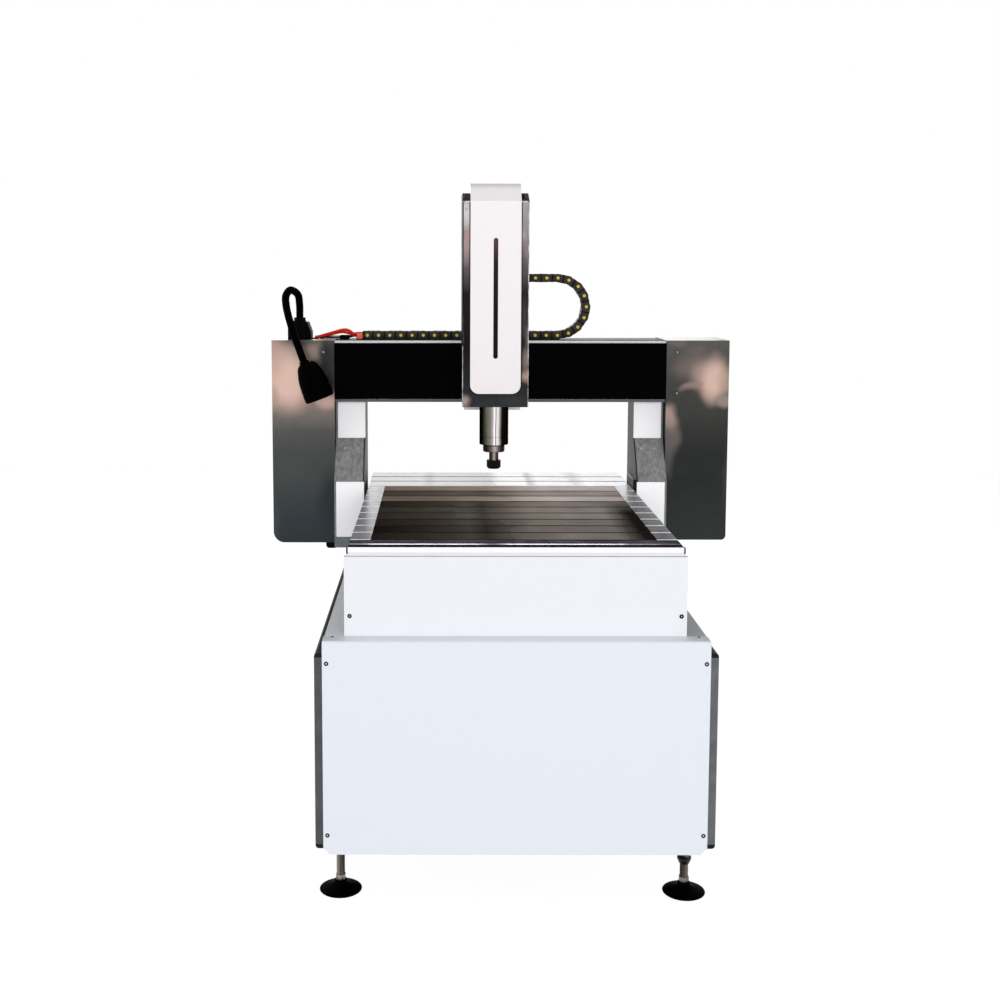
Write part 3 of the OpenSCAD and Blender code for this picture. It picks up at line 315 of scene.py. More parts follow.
head_frame_steel = steel_with_painted_reflections(
    "polished_steel_painted_reflections_head",
    [(1095, "#2e3033"), (1140, "#27292b"), (1250, "#131214"), (1400, "#1b191b"), (1470, "#5d5958"),
     (1520, "#857a7c"), (1600, "#9a9697"), (1669, "#b5b0b2")],
    [(-106, 1112, 26, 34, 0, "#d8bcb6", 1.0), (-104, 1535, 30, 90, 0, "#c09c9c", 1.0),
     (-104, 1612, 40, 66, 0, "#efe9ed", 1.0), (-103, 1622, 9, 8, 0, "#77747a", 0.8),
     (-107, 1556, 4, 20, 0, "#4e4245", 0.8), (57, 1225, 24, 56, 0, "#b09c93", 0.95),
     (56, 1180, 26, 32, 0, "#dcb9a5", 1.0), (62, 1285, 14, 60, 0, "#93837e", 0.9),
     (66, 1340, 7, 170, 0, "#8f8584", 0.8),
     (52, 1330, 12, 120, 0, "#5a585a", 0.8), (-112, 1270, 4, 150, 0, "#7d797a", 0.7),
     (50, 1480, 16, 60, 0, "#423f44", 0.8), (50, 1555, 16, 26, 0, "#b9b2b1", 0.8),
     (58, 1625, 12, 24, 0, "#8a8486", 0.7), (60, 1510, 8, 30, 0, "#8d8889", 0.8),
     (-60, 1105, 90, 14, 0, "#2f2e36", 0.8), (20, 1112, 60, 22, 0, "#3b3f42", 0.8)],
    (0.16, 0.26), bend_mm=16, grit_mm=11)
print("smoky steel made")

# %% [markdown]
# Grey parts are powder coated too, but with a matt fine texture. The side
# covers are darker, and their rounded upper and lower ends are near black. The
# column facets are grey with a light speckle from a hammered paint.

# %% Grey and black coats
def deck_coat():
    """Powder coat on the deck plates: grey at the right end, painted near white elsewhere as light
    that offsets shade.
    """
    material, tree, shader = start("grey_powder_coated_steel")
    across = add(tree, "ShaderNodeSeparateXYZ", {
        "Vector": add(tree, "ShaderNodeTexCoord").outputs["Object"]}).outputs["X"]
    skin = grain(tree, 1.6)
    # The near-white tone is painted light against shade; only the right end keeps the plain grey.
    tone = blend_colour(tree, span(tree, skin, 0.3, 0.7, 0, 1), "#f2f3f7", "#fafbff")
    right = span(tree, across, 0.385, 0.389, 0, 1)
    tree.links.new(blend_colour(tree, right, tone, "#bfc2c8"), shader.inputs["Base Color"])
    tree.links.new(span(tree, skin, 0.3, 0.7, 0.42, 0.52), shader.inputs["Roughness"])
    relief(tree, shader, skin, 0.015)
    return material


deck_grey = deck_coat()
frame_grey = plain_finish("dark_grey_primer", ("#35393b", "#3f4345"), 3.0,
                          roughness=(0.5, 0.6), depth_mm=0.02)
foot_plate_grey = plain_finish("grey_green_powder_coat", ("#566060", "#6f797a"), 18.0,
                               roughness=(0.35, 0.5), depth_mm=0.01)
black_paint = plain_finish("black_satin_paint", ("#050506", "#0b0b0c"), 2.0,
                           roughness=(0.4, 0.5), depth_mm=0.01, Specular_IOR_Level=0.03)
bronze_black = plain_finish("dark_bronze_plate", ("#25251e", "#3d3c33"), 30.0, metallic=0.5,
                            roughness=(0.4, 0.5), depth_mm=0.01, stretch=(1, 1, 4),
                            Specular_IOR_Level=0.1)
black_gloss = plain_finish("black_gloss_enamel", ("#000001", "#020203"), 40.0,
                           roughness=(0.3, 0.36), Specular_IOR_Level=0.015)
trim_grey = plain_finish("grey_anodised_trim", ("#4c4e51", "#606265"), 1.2,
                         metallic=0.8, roughness=(0.3, 0.4), stretch=(20, 1, 1))
# The grey anodised trim lifted by a painted highlight, for the trim's upper half.
trim_painted_highlight = plain_finish("anodised_trim_painted_highlight", ("#bcbcbe", "#cfcfd1"), 1.2,
                           metallic=0.6, roughness=(0.25, 0.35), stretch=(20, 1, 1))


def hammered_grey():
    """Grey hammered paint: streaks down the slope and light specks."""
    material, tree, shader = start("grey_hammered_paint", Specular_IOR_Level=0.2)
    streaks = grain(tree, 9.0, stretch=(1, 1, 5), detail=4.0)
    speck = grain(tree, 1.8, detail=2.0)
    tone = blend_colour(tree, span(tree, streaks, 0.35, 0.68, 0, 1), "#686869", "#8b8b8c")
    tree.links.new(blend_colour(tree, span(tree, speck, 0.52, 0.74, 0, 0.4), tone, "#a2a2a3"),
                   shader.inputs["Base Color"])
    tree.links.new(span(tree, speck, 0.3, 0.7, 0.35, 0.5), shader.inputs["Roughness"])
    relief(tree, shader, speck, 0.03)
    return material


column_grey = hammered_grey()


def grey_with_black_ends():
    """Side covers: grey powder coat, near black over the last 10 mm at both ends."""
    material, tree, shader = start("dark_grey_powder_coat_black_ends", Specular_IOR_Level=0.2)
    place_at = add(tree, "ShaderNodeSeparateXYZ", {
        "Vector": add(tree, "ShaderNodeTexCoord").outputs["Object"]})
    height = place_at.outputs["Z"]
    low, high = (c[2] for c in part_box("side_covers"))
    above = span(tree, height, high - 0.0105, high - 0.010, 0, 1)
    below = span(tree, height, low + 0.010, low + 0.0105, 1, 0)
    ends = add(tree, "ShaderNodeMath", {0: above, 1: below}, operation="MAXIMUM").outputs[0]
    cloud = grain(tree, 30.0, detail=5.0)
    tone = blend_colour(tree, span(tree, cloud, 0.3, 0.7, 0, 1), "#55575a", "#66686c")
    left = span(tree, place_at.outputs["X"], -0.1, 0.1, 0.45, 0)
    tone = blend_colour(tree, left, tone, "#242629")
    tree.links.new(blend_colour(tree, ends, tone, "#060607"), shader.inputs["Base Color"])
    tree.links.new(span(tree, cloud, 0.3, 0.7, 0.4, 0.5), shader.inputs["Roughness"])
    relief(tree, shader, grain(tree, 1.2), 0.015)
    return material


cover_grey = grey_with_black_ends()
print("coats made")

# %% [markdown]
# Bare metals keep the default index of refraction and differ in colour,
# roughness and the direction of their marks. Ground rails have marks along
# their length, turned parts have them round their axis, and drawn aluminium
# has them along the strip. The marks are drawn about 0.5 mm apart, coarser
# than real, so that they show at all.

# %% Metals
ground_steel = plain_finish("ground_steel", ("#a9adb0", "#c4c7c9"), 0.5, metallic=1.0,
                            roughness=(0.2, 0.3), depth_mm=0.002, stretch=(1, 60, 1))
block_steel = plain_finish("ground_block_steel", ("#8f9397", "#a8abae"), 0.8, metallic=1.0,
                           roughness=(0.28, 0.38), depth_mm=0.003)
plate_aluminium = plain_finish("milled_aluminium", ("#a9acae", "#bfc1c3"), 1.0, metallic=1.0,
                               roughness=(0.3, 0.42), depth_mm=0.004, stretch=(1, 1, 30))
pale_anodised = plain_finish("pale_anodised_aluminium", ("#dcdbe3", "#e4e3eb"), 1.0,
                             metallic=0.3, roughness=(0.4, 0.5), depth_mm=0.004)
dark_aluminium = plain_finish("black_anodised_aluminium", ("#3a3c3f", "#48494c"), 1.2,
                              metallic=0.6, roughness=(0.38, 0.48), depth_mm=0.004)
beam_steel = plain_finish("grey_machined_steel", ("#8c9093", "#a3a6a9"), 1.4, metallic=0.8,
                          roughness=(0.35, 0.45), depth_mm=0.006, stretch=(40, 1, 1))
collet_black = plain_finish("black_oiled_steel", ("#040405", "#0d0d0e"), 2.5,
                            roughness=(0.3, 0.5), depth_mm=0.02, Specular_IOR_Level=0.1)
beam_dark = plain_finish("dark_grey_painted_steel", ("#29282b", "#343337"), 1.4,
                         roughness=(0.45, 0.55), depth_mm=0.01, Specular_IOR_Level=0.1)
black_oxide = plain_finish("black_oxide_steel", ("#131315", "#232427"), 0.8, metallic=0.7,
                           roughness=(0.3, 0.42), depth_mm=0.006)
zinc = plain_finish("zinc_plated_steel", ("#8c8e92", "#b4b5b8"), 0.9, metallic=1.0,
                    roughness=(0.25, 0.35), depth_mm=0.004)
dark_zinc = plain_finish("black_zinc_plated_steel", ("#141518", "#24252a"), 0.9, metallic=0.8,
                         roughness=(0.3, 0.42), depth_mm=0.004)


def turned_steel_painted_reflections(name, axis_at, stops, repeats, ahead, roughness, metallic=1.0):
    """Polished turned steel with painted reflections: streaks of light and dark round its axis."""
    material, tree, shader = start(name, Metallic=metallic, Specular_Tint=(0.12, 0.12, 0.12, 1))
    where = add(tree, "ShaderNodeTexCoord").outputs["Object"]
    centred = add(tree, "ShaderNodeMapping", {
        "Vector": where, "Location": (-axis_at[0], -axis_at[1], 0)}).outputs["Vector"]
    turn = add(tree, "ShaderNodeTexGradient", {"Vector": centred}, gradient_type="RADIAL")
    wander = grain(tree, 60.0, detail=2.0)
    angle = add(tree, "ShaderNodeMath", {0: turn.outputs["Fac"], 1: float(repeats),
                2: span(tree, wander, 0.3, 0.7, ahead - 0.008, ahead + 0.008)},
                operation="MULTIPLY_ADD").outputs[0]
    share = add(tree, "ShaderNodeMath", {0: angle}, operation="FRACT").outputs[0]
    rings = grain(tree, 0.5, stretch=(60, 60, 1), detail=2.0)
    tree.links.new(ramp(tree, share, stops), shader.inputs["Base Color"])
    tree.links.new(span(tree, rings, 0.3, 0.7, *roughness), shader.inputs["Roughness"])
    relief(tree, shader, rings, 0.002)
    return material


spindle_low, spindle_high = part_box("spindle_body")
# The stops here and for the nose are painted reflections, bands of light and dark round the axis.
spindle_steel = turned_steel_painted_reflections(
    "polished_turned_steel_painted_reflections", ((spindle_low + spindle_high) / 2),
    [(0.0, "#efedec"), (0.04, "#e3e1e0"), (0.085, "#84817f"), (0.12, "#15110f"), (0.209, "#0f0906"),
     (0.25, "#2b2a2a"), (0.3, "#242322"), (0.34, "#050404"), (0.456, "#0c0c0c"), (0.56, "#050505"),
     (0.628, "#080806"), (0.702, "#2a2a1f"), (0.762, "#49493b"), (0.814, "#6c6b62"),
     (0.864, "#7e7674"), (0.905, "#a8a1a1"), (0.93, "#b5adad"), (0.94, "#fefafa"),
     (0.972, "#fdf9f9"), (0.98, "#6b6866"), (0.99, "#6b6866"), (1.0, "#efedec")], 2, 0.456,
     (0.1, 0.16))
nose_steel = turned_steel_painted_reflections(
    "turned_nose_steel_painted_reflections", ((spindle_low + spindle_high) / 2),
    [(0.0, "#b9b0ac"), (0.06, "#7f706a"), (0.13, "#4a3630"), (0.2, "#140d0b"), (0.25, "#050404"),
     (0.7, "#050404"), (0.76, "#33251f"), (0.84, "#5d524d"), (0.9, "#8b807b"), (0.95, "#b3aaa6"),
     (1.0, "#b9b0ac")], 2, 0.456, (0.2, 0.3), 0.35)
stem_steel = plain_finish("bright_threaded_steel", ("#59564f", "#9c968d"), 9.0, metallic=1.0,
                          roughness=(0.25, 0.35), depth_mm=0.004, stretch=(1, 1, 30))
print("metals made")

# %% [markdown]
# Plastics and rubber come last: ribbed nylon for the drag chain with yellow
# pins, black rubber on the feet and lamp, and PVC on the cables.

# %% Plastics and rubber
chain_nylon = plain_finish("moulded_black_nylon", ("#191815", "#2d2b26"), 5.0,
                           roughness=(0.4, 0.55), depth_mm=0.02, Specular_IOR_Level=0.3)
pin_nylon = plain_finish("yellow_moulded_nylon", ("#b9a236", "#d4c155"), 1.5,
                         roughness=(0.4, 0.5), depth_mm=0.01)
red_nylon = plain_finish("red_moulded_nylon", ("#e2564a", "#ef6c5e"), 2.5,
                         roughness=(0.42, 0.52), depth_mm=0.02)
foot_rubber = plain_finish("black_moulded_rubber", ("#000000", "#020203"), 1.6,
                           roughness=(0.5, 0.6), depth_mm=0.02, Specular_IOR_Level=0.01)
lamp_plastic = plain_finish("black_moulded_plastic", ("#000000", "#010102"), 1.8,
                            roughness=(0.5, 0.6), depth_mm=0.02, Specular_IOR_Level=0.01)
block_plastic = plain_finish("black_glass_filled_nylon", ("#020202", "#0b0b0b"), 6.0,
                             roughness=(0.45, 0.6), depth_mm=0.03, Specular_IOR_Level=0.02)
red_pvc = plain_finish("red_pvc_jacket", ("#cb1d0e", "#de2f1c"), 3.0,
                       roughness=(0.35, 0.45), depth_mm=0.01, Specular_IOR_Level=0.25)
black_pvc = plain_finish("black_pvc_jacket", ("#08080a", "#121214"), 3.0,
                         roughness=(0.35, 0.45), depth_mm=0.01, Specular_IOR_Level=0.2)
lens_plastic = plain_finish("frosted_clear_plastic", ("#c9ccc9", "#dcdedb"), 1.5,
                            roughness=(0.25, 0.35), depth_mm=0.03, Coat_Weight=0.4)
print("plastics made")

# %% [markdown]
# Three mesh helpers do most of the work. `finish_piece` closes a bmesh into an
# object that sits at the origin and rides on a CAD body. `softened` takes a
# copy of a CAD node, merges its loose triangles back into whole faces and
# bevels its edges, because real sheet and plate never has a perfectly sharp
# edge and the thin highlight there is what makes it look real. `lathe` spins a
# profile for anything turned.

# %% Mesh helpers
SMOOTH_ANGLE = math.radians(32)


def finish_piece(name, bm, materials, body, stands_for=(), weld=1e-6):
    """Makes the object, gives it its finish and lets it ride on its body."""
    if weld:
        bmesh.ops.remove_doubles(bm, verts=bm.verts, dist=weld)
    bmesh.ops.recalc_face_normals(bm, faces=bm.faces)
    mesh = bpy.data.meshes.new(name)
    bm.to_mesh(mesh)
    bm.free()
    for material in materials if isinstance(materials, (list, tuple)) else [materials]:
        mesh.materials.append(material)
    mesh.shade_smooth()
    mesh.set_sharp_from_angle(angle=SMOOTH_ANGLE)
    piece = bpy.data.objects.new(name, mesh)
    bpy.context.scene.collection.objects.link(piece)
    if body:
        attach(piece, body)
    if stands_for:
        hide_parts(*stands_for)
    return piece


def merged_copy(node):
    """A bmesh copy of a CAD node with its triangles merged into whole faces."""
    bm = bmesh.new()
    bm.from_mesh(frame["nodes"][node].data)
    bmesh.ops.remove_doubles(bm, verts=bm.verts, dist=2e-6)
    bmesh.ops.dissolve_limit(bm, angle_limit=math.radians(0.6), verts=bm.verts, edges=bm.edges)
    return bm


def bevel_sharp(bm, width_mm, segments=2, sharper_than=30):
    """Rounds every edge whose faces meet at more than the given angle."""
    limit = math.radians(sharper_than)
    edges = [e for e in bm.edges if len(e.link_faces) == 2 and e.calc_face_angle(0) > limit]
    bmesh.ops.bevel(bm, geom=edges, offset=width_mm * MM, offset_type="OFFSET",
                    affect="EDGES", segments=segments, profile=0.5, material=-1,
                    clamp_overlap=True)


def node_body(node):
    return frame["nodes"][node]["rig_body"]


def softened(node, materials, width_mm, segments=2):
    """The CAD node with soft edges, standing for it."""
    bm = merged_copy(node)
    bevel_sharp(bm, width_mm, segments)
    piece = finish_piece(node + "_finished", bm, materials, node_body(node),
                         [node], weld=0)
    piece.modifiers.new("flat_faces", "WEIGHTED_NORMAL").keep_sharp = True
    return piece


def lathe(bm, profile_mm, centre, axis="Z", segments=48, turn=Matrix.Identity(3)):
    """Spins (radius, height) points in mm round an axis through centre."""
    turns = {"Z": Matrix.Identity(3), "X": Matrix.Rotation(math.pi / 2, 3, "Y"),
             "Y": Matrix.Rotation(-math.pi / 2, 3, "X")}
    to_place = turn @ turns[axis]
    points = [Vector(centre) + to_place @ Vector((r * MM, 0, h * MM)) for r, h in profile_mm]
    verts = [bm.verts.new(p) for p in points]
    edges = [bm.edges.new(pair) for pair in zip(verts, verts[1:])]
    bmesh.ops.spin(bm, geom=verts + edges, cent=centre, axis=to_place @ Vector((0, 0, 1)),
                   dvec=(0, 0, 0), angle=2 * math.pi, steps=segments, use_merge=True)


def slab(bm, low, high, width_mm=0.0, segments=2):
    """A box between two corners, in metres, with its edges bevelled."""
    low, high = Vector(low), Vector(high)
    made = bmesh.ops.create_cube(bm, size=1.0)["verts"]
    size = high - low
    bmesh.ops.scale(bm, vec=size, verts=made)
    bmesh.ops.translate(bm, vec=(low + high) / 2, verts=made)
    if width_mm:
        edges = list({e for v in made for e in v.link_edges})
        bmesh.ops.bevel(bm, geom=edges, offset=width_mm * MM, offset_type="OFFSET",
                        affect="EDGES", segments=segments, profile=0.5, material=-1,
                        clamp_overlap=True)
    return made


print("mesh helpers ready")

# %% [markdown]
# Most of the sheet and plate keeps its CAD shape and only gets soft edges.
# Folded sheet has an edge of about half a millimetre, welded tube a corner
# radius of 4 mm, and machined plate a 1 mm chamfer.

# %% Sheet, tube and plate with soft edges
SOFT_EDGES = {
    "base_frame": (frame_grey, 4.0), "front_panel": (panel_white, 0.5),
    "rear_panel": (panel_white, 0.5), "deck_plate": (deck_grey, 0.4),
    "side_covers": (cover_grey, 0.6), "upper_front_panel": (skirt_white, 0.5),
    "upper_rear_panel": (skirt_white, 0.5), "side_beams": (beam_steel, 1.5),
    "bed_crossbars": (frame_grey, 3.0), "bed_plate": (pale_anodised, 0.5),
    "y_screw_supports": (black_oxide, 1.0), "columns": (column_grey, 1.2),
    "column_covers": (cover_white_painted_light, 0.5), "column_feet": (foot_plate_grey, 1.5),
    "y_carriage_plates": (bronze_black, 0.8), "y_blocks": (block_steel, 0.8),
    "end_plates": (black_paint, 1.5), "housing_left": (housing_left_steel, 0.5),
    "housing_right": (housing_right_steel, 0.5), "gantry_beam": (beam_dark, 2.0),
    "beam_cover": (black_gloss, 0.4),
    "x_screw_supports": (black_oxide, 1.0), "x_carriage": (pale_anodised, 1.0),
    "x_blocks": (block_steel, 0.8), "z_back_plate": (plate_aluminium, 1.0),
    "z_screw_supports": (black_oxide, 1.0), "head_cover": (head_enamel, 0.9),
    "z_slide_plate": (dark_aluminium, 1.0),
    "z_blocks": (block_steel, 0.8), "spindle_clamp": (dark_aluminium, 1.5),
}
for node, (material, width_mm) in SOFT_EDGES.items():
    softened(node, material, width_mm)
print("softened", len(SOFT_EDGES), "nodes")

# %% [markdown]
# Two nodes carry two finishes each. The chain's end piece is red, and its
# rounded rims are painted black as shade in the gaps round it. The trim round
# the beam cover is grey, with a painted highlight on its upper half.

# %% Chain end and cover trim
bm = merged_copy("chain_end")
bevel_sharp(bm, 1.6)
# Flat faces stay red; the rounded rims take black as painted shade in the gaps round the end piece.
for face in bm.faces:
    face.material_index = 0 if max(abs(c) for c in face.normal) > 0.999 else 1
finish_piece("chain_end_finished", bm, [red_nylon, black_gloss], node_body("chain_end"),
             ["chain_end"], weld=0)
bm = merged_copy("cover_trim")
bevel_sharp(bm, 0.4)
trim_middle = sum((c.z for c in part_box("cover_trim")), 0.0) / 2
# The upper half of the trim takes the painted highlight.
for face in bm.faces:
    face.material_index = 1 if face.calc_center_median().z > trim_middle else 0
finish_piece("cover_trim_finished", bm, [trim_grey, trim_painted_highlight], node_body("cover_trim"),
             ["cover_trim"], weld=0)
print("chain end and cover trim made")

# %% [markdown]
# The head's frame slopes back above a crease, and its slope is painted black.
# So are its left edge and its left side down to 1.26 m. The crease and the
# lower outer edges carry a painted highlight. A dark sheet between the frame
# and the white cover is painted shade: it shows as a thin shaded gap round the
# cover and fills the cover's long slot. A small dark pad on the left end of the
# slope belongs to it.

# %% Head frame with painted highlights, and painted gap shade
frame_low, frame_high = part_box("head_frame")
white_low, white_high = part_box("head_cover")
CREASE_Z = frame_high.z - 0.023
frame_middle = (frame_low.x + frame_high.x) / 2
BLACK_EDGE, BLACK_ABOVE = 0.0028, 1.38
HIGHLIGHT_BAND_LEFT, HIGHLIGHT_BAND_RIGHT, HIGHLIGHT_BELOW = 0.0018, 0.0022, 1.26
CREASE_BAND = 0.0035
bm = merged_copy("head_frame")
round_edges = [e for e in bm.edges if len(e.link_faces) == 2 and e.calc_face_angle(0) > 0.5
               and any(abs(v.co.x - frame_middle) > 0.075 or v.co.z < 1.2 for v in e.verts)]
bmesh.ops.bevel(bm, geom=round_edges, offset=1.2 * MM, offset_type="OFFSET", affect="EDGES",
                segments=2, profile=0.5, material=-1, clamp_overlap=True)
for co, no in (((frame_low.x + BLACK_EDGE, 0, 0), (1, 0, 0)), ((0, 0, BLACK_ABOVE), (0, 0, 1)),
               ((0, 0, HIGHLIGHT_BELOW), (0, 0, 1)),
               ((frame_low.x + HIGHLIGHT_BAND_LEFT, 0, 0), (1, 0, 0)),
               ((frame_high.x - HIGHLIGHT_BAND_RIGHT, 0, 0), (1, 0, 0)),
               ((0, 0, CREASE_Z - CREASE_BAND), (0, 0, 1))):
    bmesh.ops.bisect_plane(bm, geom=list(bm.verts) + list(bm.edges) + list(bm.faces),
                           plane_co=co, plane_no=no)
# Index 2 is a painted highlight on the crease band and the lower outer edges.
for face in bm.faces:
    middle = face.calc_center_median()
    out = face.normal
    if middle.z > CREASE_Z - 0.0005:
        face.material_index = 1
    elif middle.z > CREASE_Z - CREASE_BAND and out.y < -0.3:
        face.material_index = 2
    elif middle.x < frame_low.x + BLACK_EDGE and middle.z > BLACK_ABOVE and out.y < -0.2:
        face.material_index = 1
    elif middle.x < frame_low.x + HIGHLIGHT_BAND_LEFT and middle.z > HIGHLIGHT_BELOW:
        face.material_index = 1
    elif out.y < -0.2 and not frame_low.x + HIGHLIGHT_BAND_LEFT < middle.x < frame_high.x - HIGHLIGHT_BAND_RIGHT:
        face.material_index = 2
frame_edge_painted_highlight = plain_finish("painted_highlight_on_frame_edge", ("#4a4748", "#f0e6e2"), 9.0, metallic=0.9,
                         roughness=(0.25, 0.4), stretch=(1, 1, 3))
piece = finish_piece("head_frame_finished", bm, [head_frame_steel, black_paint, frame_edge_painted_highlight],
                     node_body("head_frame"), ["head_frame"], weld=0)
piece.modifiers.new("flat_faces", "WEIGHTED_NORMAL").keep_sharp = True


def gap_and_slot_shade():
    """Painted shade for the gap and slot round the head cover: near black, reddish towards the top.
    """
    material, tree, shader = start("painted_shade_in_gap_and_slot", Specular_IOR_Level=0.1)
    height = add(tree, "ShaderNodeSeparateXYZ", {
        "Vector": add(tree, "ShaderNodeTexCoord").outputs["Object"]}).outputs["Z"]
    fleck = grain(tree, 4.0, stretch=(1, 1, 2), detail=3.0)
    tone = ramp(tree, span(tree, height, 1.14, 1.62, 0, 1),
                [(0.0, "#050506"), (0.45, "#0c0a0f"), (0.72, "#211a1e"), (0.86, "#5a4447"),
                 (0.95, "#3b3434"), (1.0, "#1c1b1b")])
    tree.links.new(blend_colour(tree, span(tree, fleck, 0.5, 0.75, 0, 0.5), tone, "#2c2427"),
                   shader.inputs["Base Color"])
    tree.links.new(span(tree, fleck, 0.3, 0.7, 0.5, 0.7), shader.inputs["Roughness"])
    return material


# A dark sheet just larger than the cover lies behind it: painted shade in the gap round the cover
# and in its slot.
GAP_SHADE_MM = 2.8
bm = bmesh.new()
made = slab(bm, (white_low.x - GAP_SHADE_MM * MM, frame_low.y - 0.0016, white_low.z - GAP_SHADE_MM * MM),
            (white_high.x + GAP_SHADE_MM * MM, frame_low.y + 0.0002, CREASE_Z - 0.0036))
corners = [e for e in bm.edges if all(v.co.z < white_low.z for v in e.verts)
           and abs(e.verts[0].co.x - e.verts[1].co.x) < 1e-6]
bmesh.ops.bevel(bm, geom=corners, offset=0.024 + GAP_SHADE_MM * MM, offset_type="OFFSET",
                affect="EDGES", segments=12, profile=0.5, material=-1)
bmesh.ops.create_cube(bm, size=1.0, matrix=Matrix.Translation((-0.0952, 0.026, 1.6567))
                      @ Matrix.Rotation(math.radians(23.6), 4, "X")
                      @ Matrix.Diagonal((0.0090, 0.0560, 0.0014, 1)))
finish_piece("head_gap_shade", bm, gap_and_slot_shade(), node_body("head_cover"))
print("head frame and gap shade made")

# %% [markdown]
# The rails keep their CAD mesh and get the ground finish. The Y rails are held
# down by screws in counterbores, and their plastic caps show as a row of flat
# discs every 60 mm.

# %% Rails and their screw caps
CAP_PITCH = 0.060
for node in ("y_rails", "x_rails", "z_rails"):
    frame["nodes"][node].data.materials.clear()
    frame["nodes"][node].data.materials.append(ground_steel)

bm = bmesh.new()
low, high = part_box("y_rails")
rail_z = (low.z + high.z) / 2
for i in range(int((high.y - low.y) / CAP_PITCH)):
    y = low.y + CAP_PITCH * (i + 0.5)
    for side in (-1, 1):
        lathe(bm, [(0, 0.25), (3.6, 0.25), (4.6, 0.0)], (side * high.x, y, rail_z), "X", 16,
              Matrix.Rotation(0 if side > 0 else math.pi, 3, "Z"))
finish_piece("y_rail_caps", bm, black_oxide, "base")
print("rail caps made")

# %% [markdown]
# The table is T-slot strips on a base plate. Each strip is drawn as its end
# profile and pushed out along the table. The working area is skimmed half a
# millimetre deep and comes out much darker than the polished border; its tone
# strip by strip and its sweep from dark at the left are painted reflections and
# shade. The border carries painted reflections too. The first strip is not
# skimmed: its grey top and dark front lip are painted reflection, and the bright
# line along it is a painted highlight. Slot walls are painted dark as shade deep
# in the table and bright as a highlight near the front.

# %% Table finishes
TABLE_LOW, TABLE_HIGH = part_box("bed_table")
STRIP_PITCH = 0.0846
SKIM_X, SKIM_DEPTH = 0.333, 0.0005
SKIM_Y = (TABLE_LOW.y + STRIP_PITCH, TABLE_LOW.y + 0.848)


def skimmed_dark():
    """Dark skimmed working area with painted reflections and shade: each strip has its own tone,
    dark to the left, and a black patch lies at the right front.
    """
    material, tree, shader = start("dark_skimmed_aluminium", Metallic=0.3, Specular_IOR_Level=0.0,
                                   Specular_Tint=(0.12, 0.12, 0.12, 1))
    marks = grain(tree, 2.0, stretch=(120, 1, 1), detail=3.0)
    cloud = grain(tree, 90.0, detail=3.0)
    spot = add(tree, "ShaderNodeSeparateXYZ", {
        "Vector": add(tree, "ShaderNodeTexCoord").outputs["Object"]})
    across = span(tree, spot.outputs["X"], -SKIM_X, SKIM_X, 0, 1)
    # dull and clear are painted sweeps of reflection and shade across the table, dark at the left;
    # each strip mixes them by its own share.
    dull = ramp(tree, across, [(0.0, "#110e0b"), (0.16, "#3a3329"), (0.28, "#544f46"),
                               (0.35, "#69665b"),
                               (0.41, "#45413a"), (0.5, "#7b746c"), (0.58, "#9b938b"),
                               (0.7, "#a89e96"),
                               (0.85, "#9e9891"), (1.0, "#9a928a")])
    clear = ramp(tree, across, [(0.0, "#a2948a"), (0.28, "#b4a799"), (0.43, "#cabbaf"),
                                (0.5, "#e2cfc6"),
                                (0.58, "#fff0e6"), (0.75, "#fff4ee"), (1.0, "#fff0ec")])
    along = span(tree, spot.outputs["Y"], TABLE_LOW.y + STRIP_PITCH,
                 TABLE_LOW.y + 10 * STRIP_PITCH, 0, 1)
    share = ramp(tree, along, [(i / 9, grey) for i, grey in enumerate(
        ("#4a4a4a", "#1c1c1c", "#505050", "#767676", "#7c7c7c", "#595959", "#e7e7e7", "#a0a0a0",
         "#ffffff"))], "CONSTANT")
    tone = blend_colour(tree, share, dull, clear)
    # A painted dark patch of reflection and shade, strongest at the right front.
    edge = span(tree, spot.outputs["X"], 0.25, 0.31, 0, 1)
    near = span(tree, spot.outputs["Y"], -0.16, 0.02, 0.95, 0.1)
    painted_dark_patch = add(tree, "ShaderNodeMath", {0: edge, 1: near}, operation="MULTIPLY").outputs[0]
    tone = blend_colour(tree, painted_dark_patch, tone, "#060505")
    tone = blend_colour(tree, span(tree, cloud, 0.35, 0.7, 0, 0.25), tone, "#2c2723")
    tree.links.new(blend_colour(tree, span(tree, marks, 0.4, 0.75, 0, 0.1), tone, "#7a716a"),
                   shader.inputs["Base Color"])
    tree.links.new(span(tree, marks, 0.3, 0.7, 0.28, 0.42), shader.inputs["Roughness"])
    relief(tree, shader, marks, 0.006)
    return material


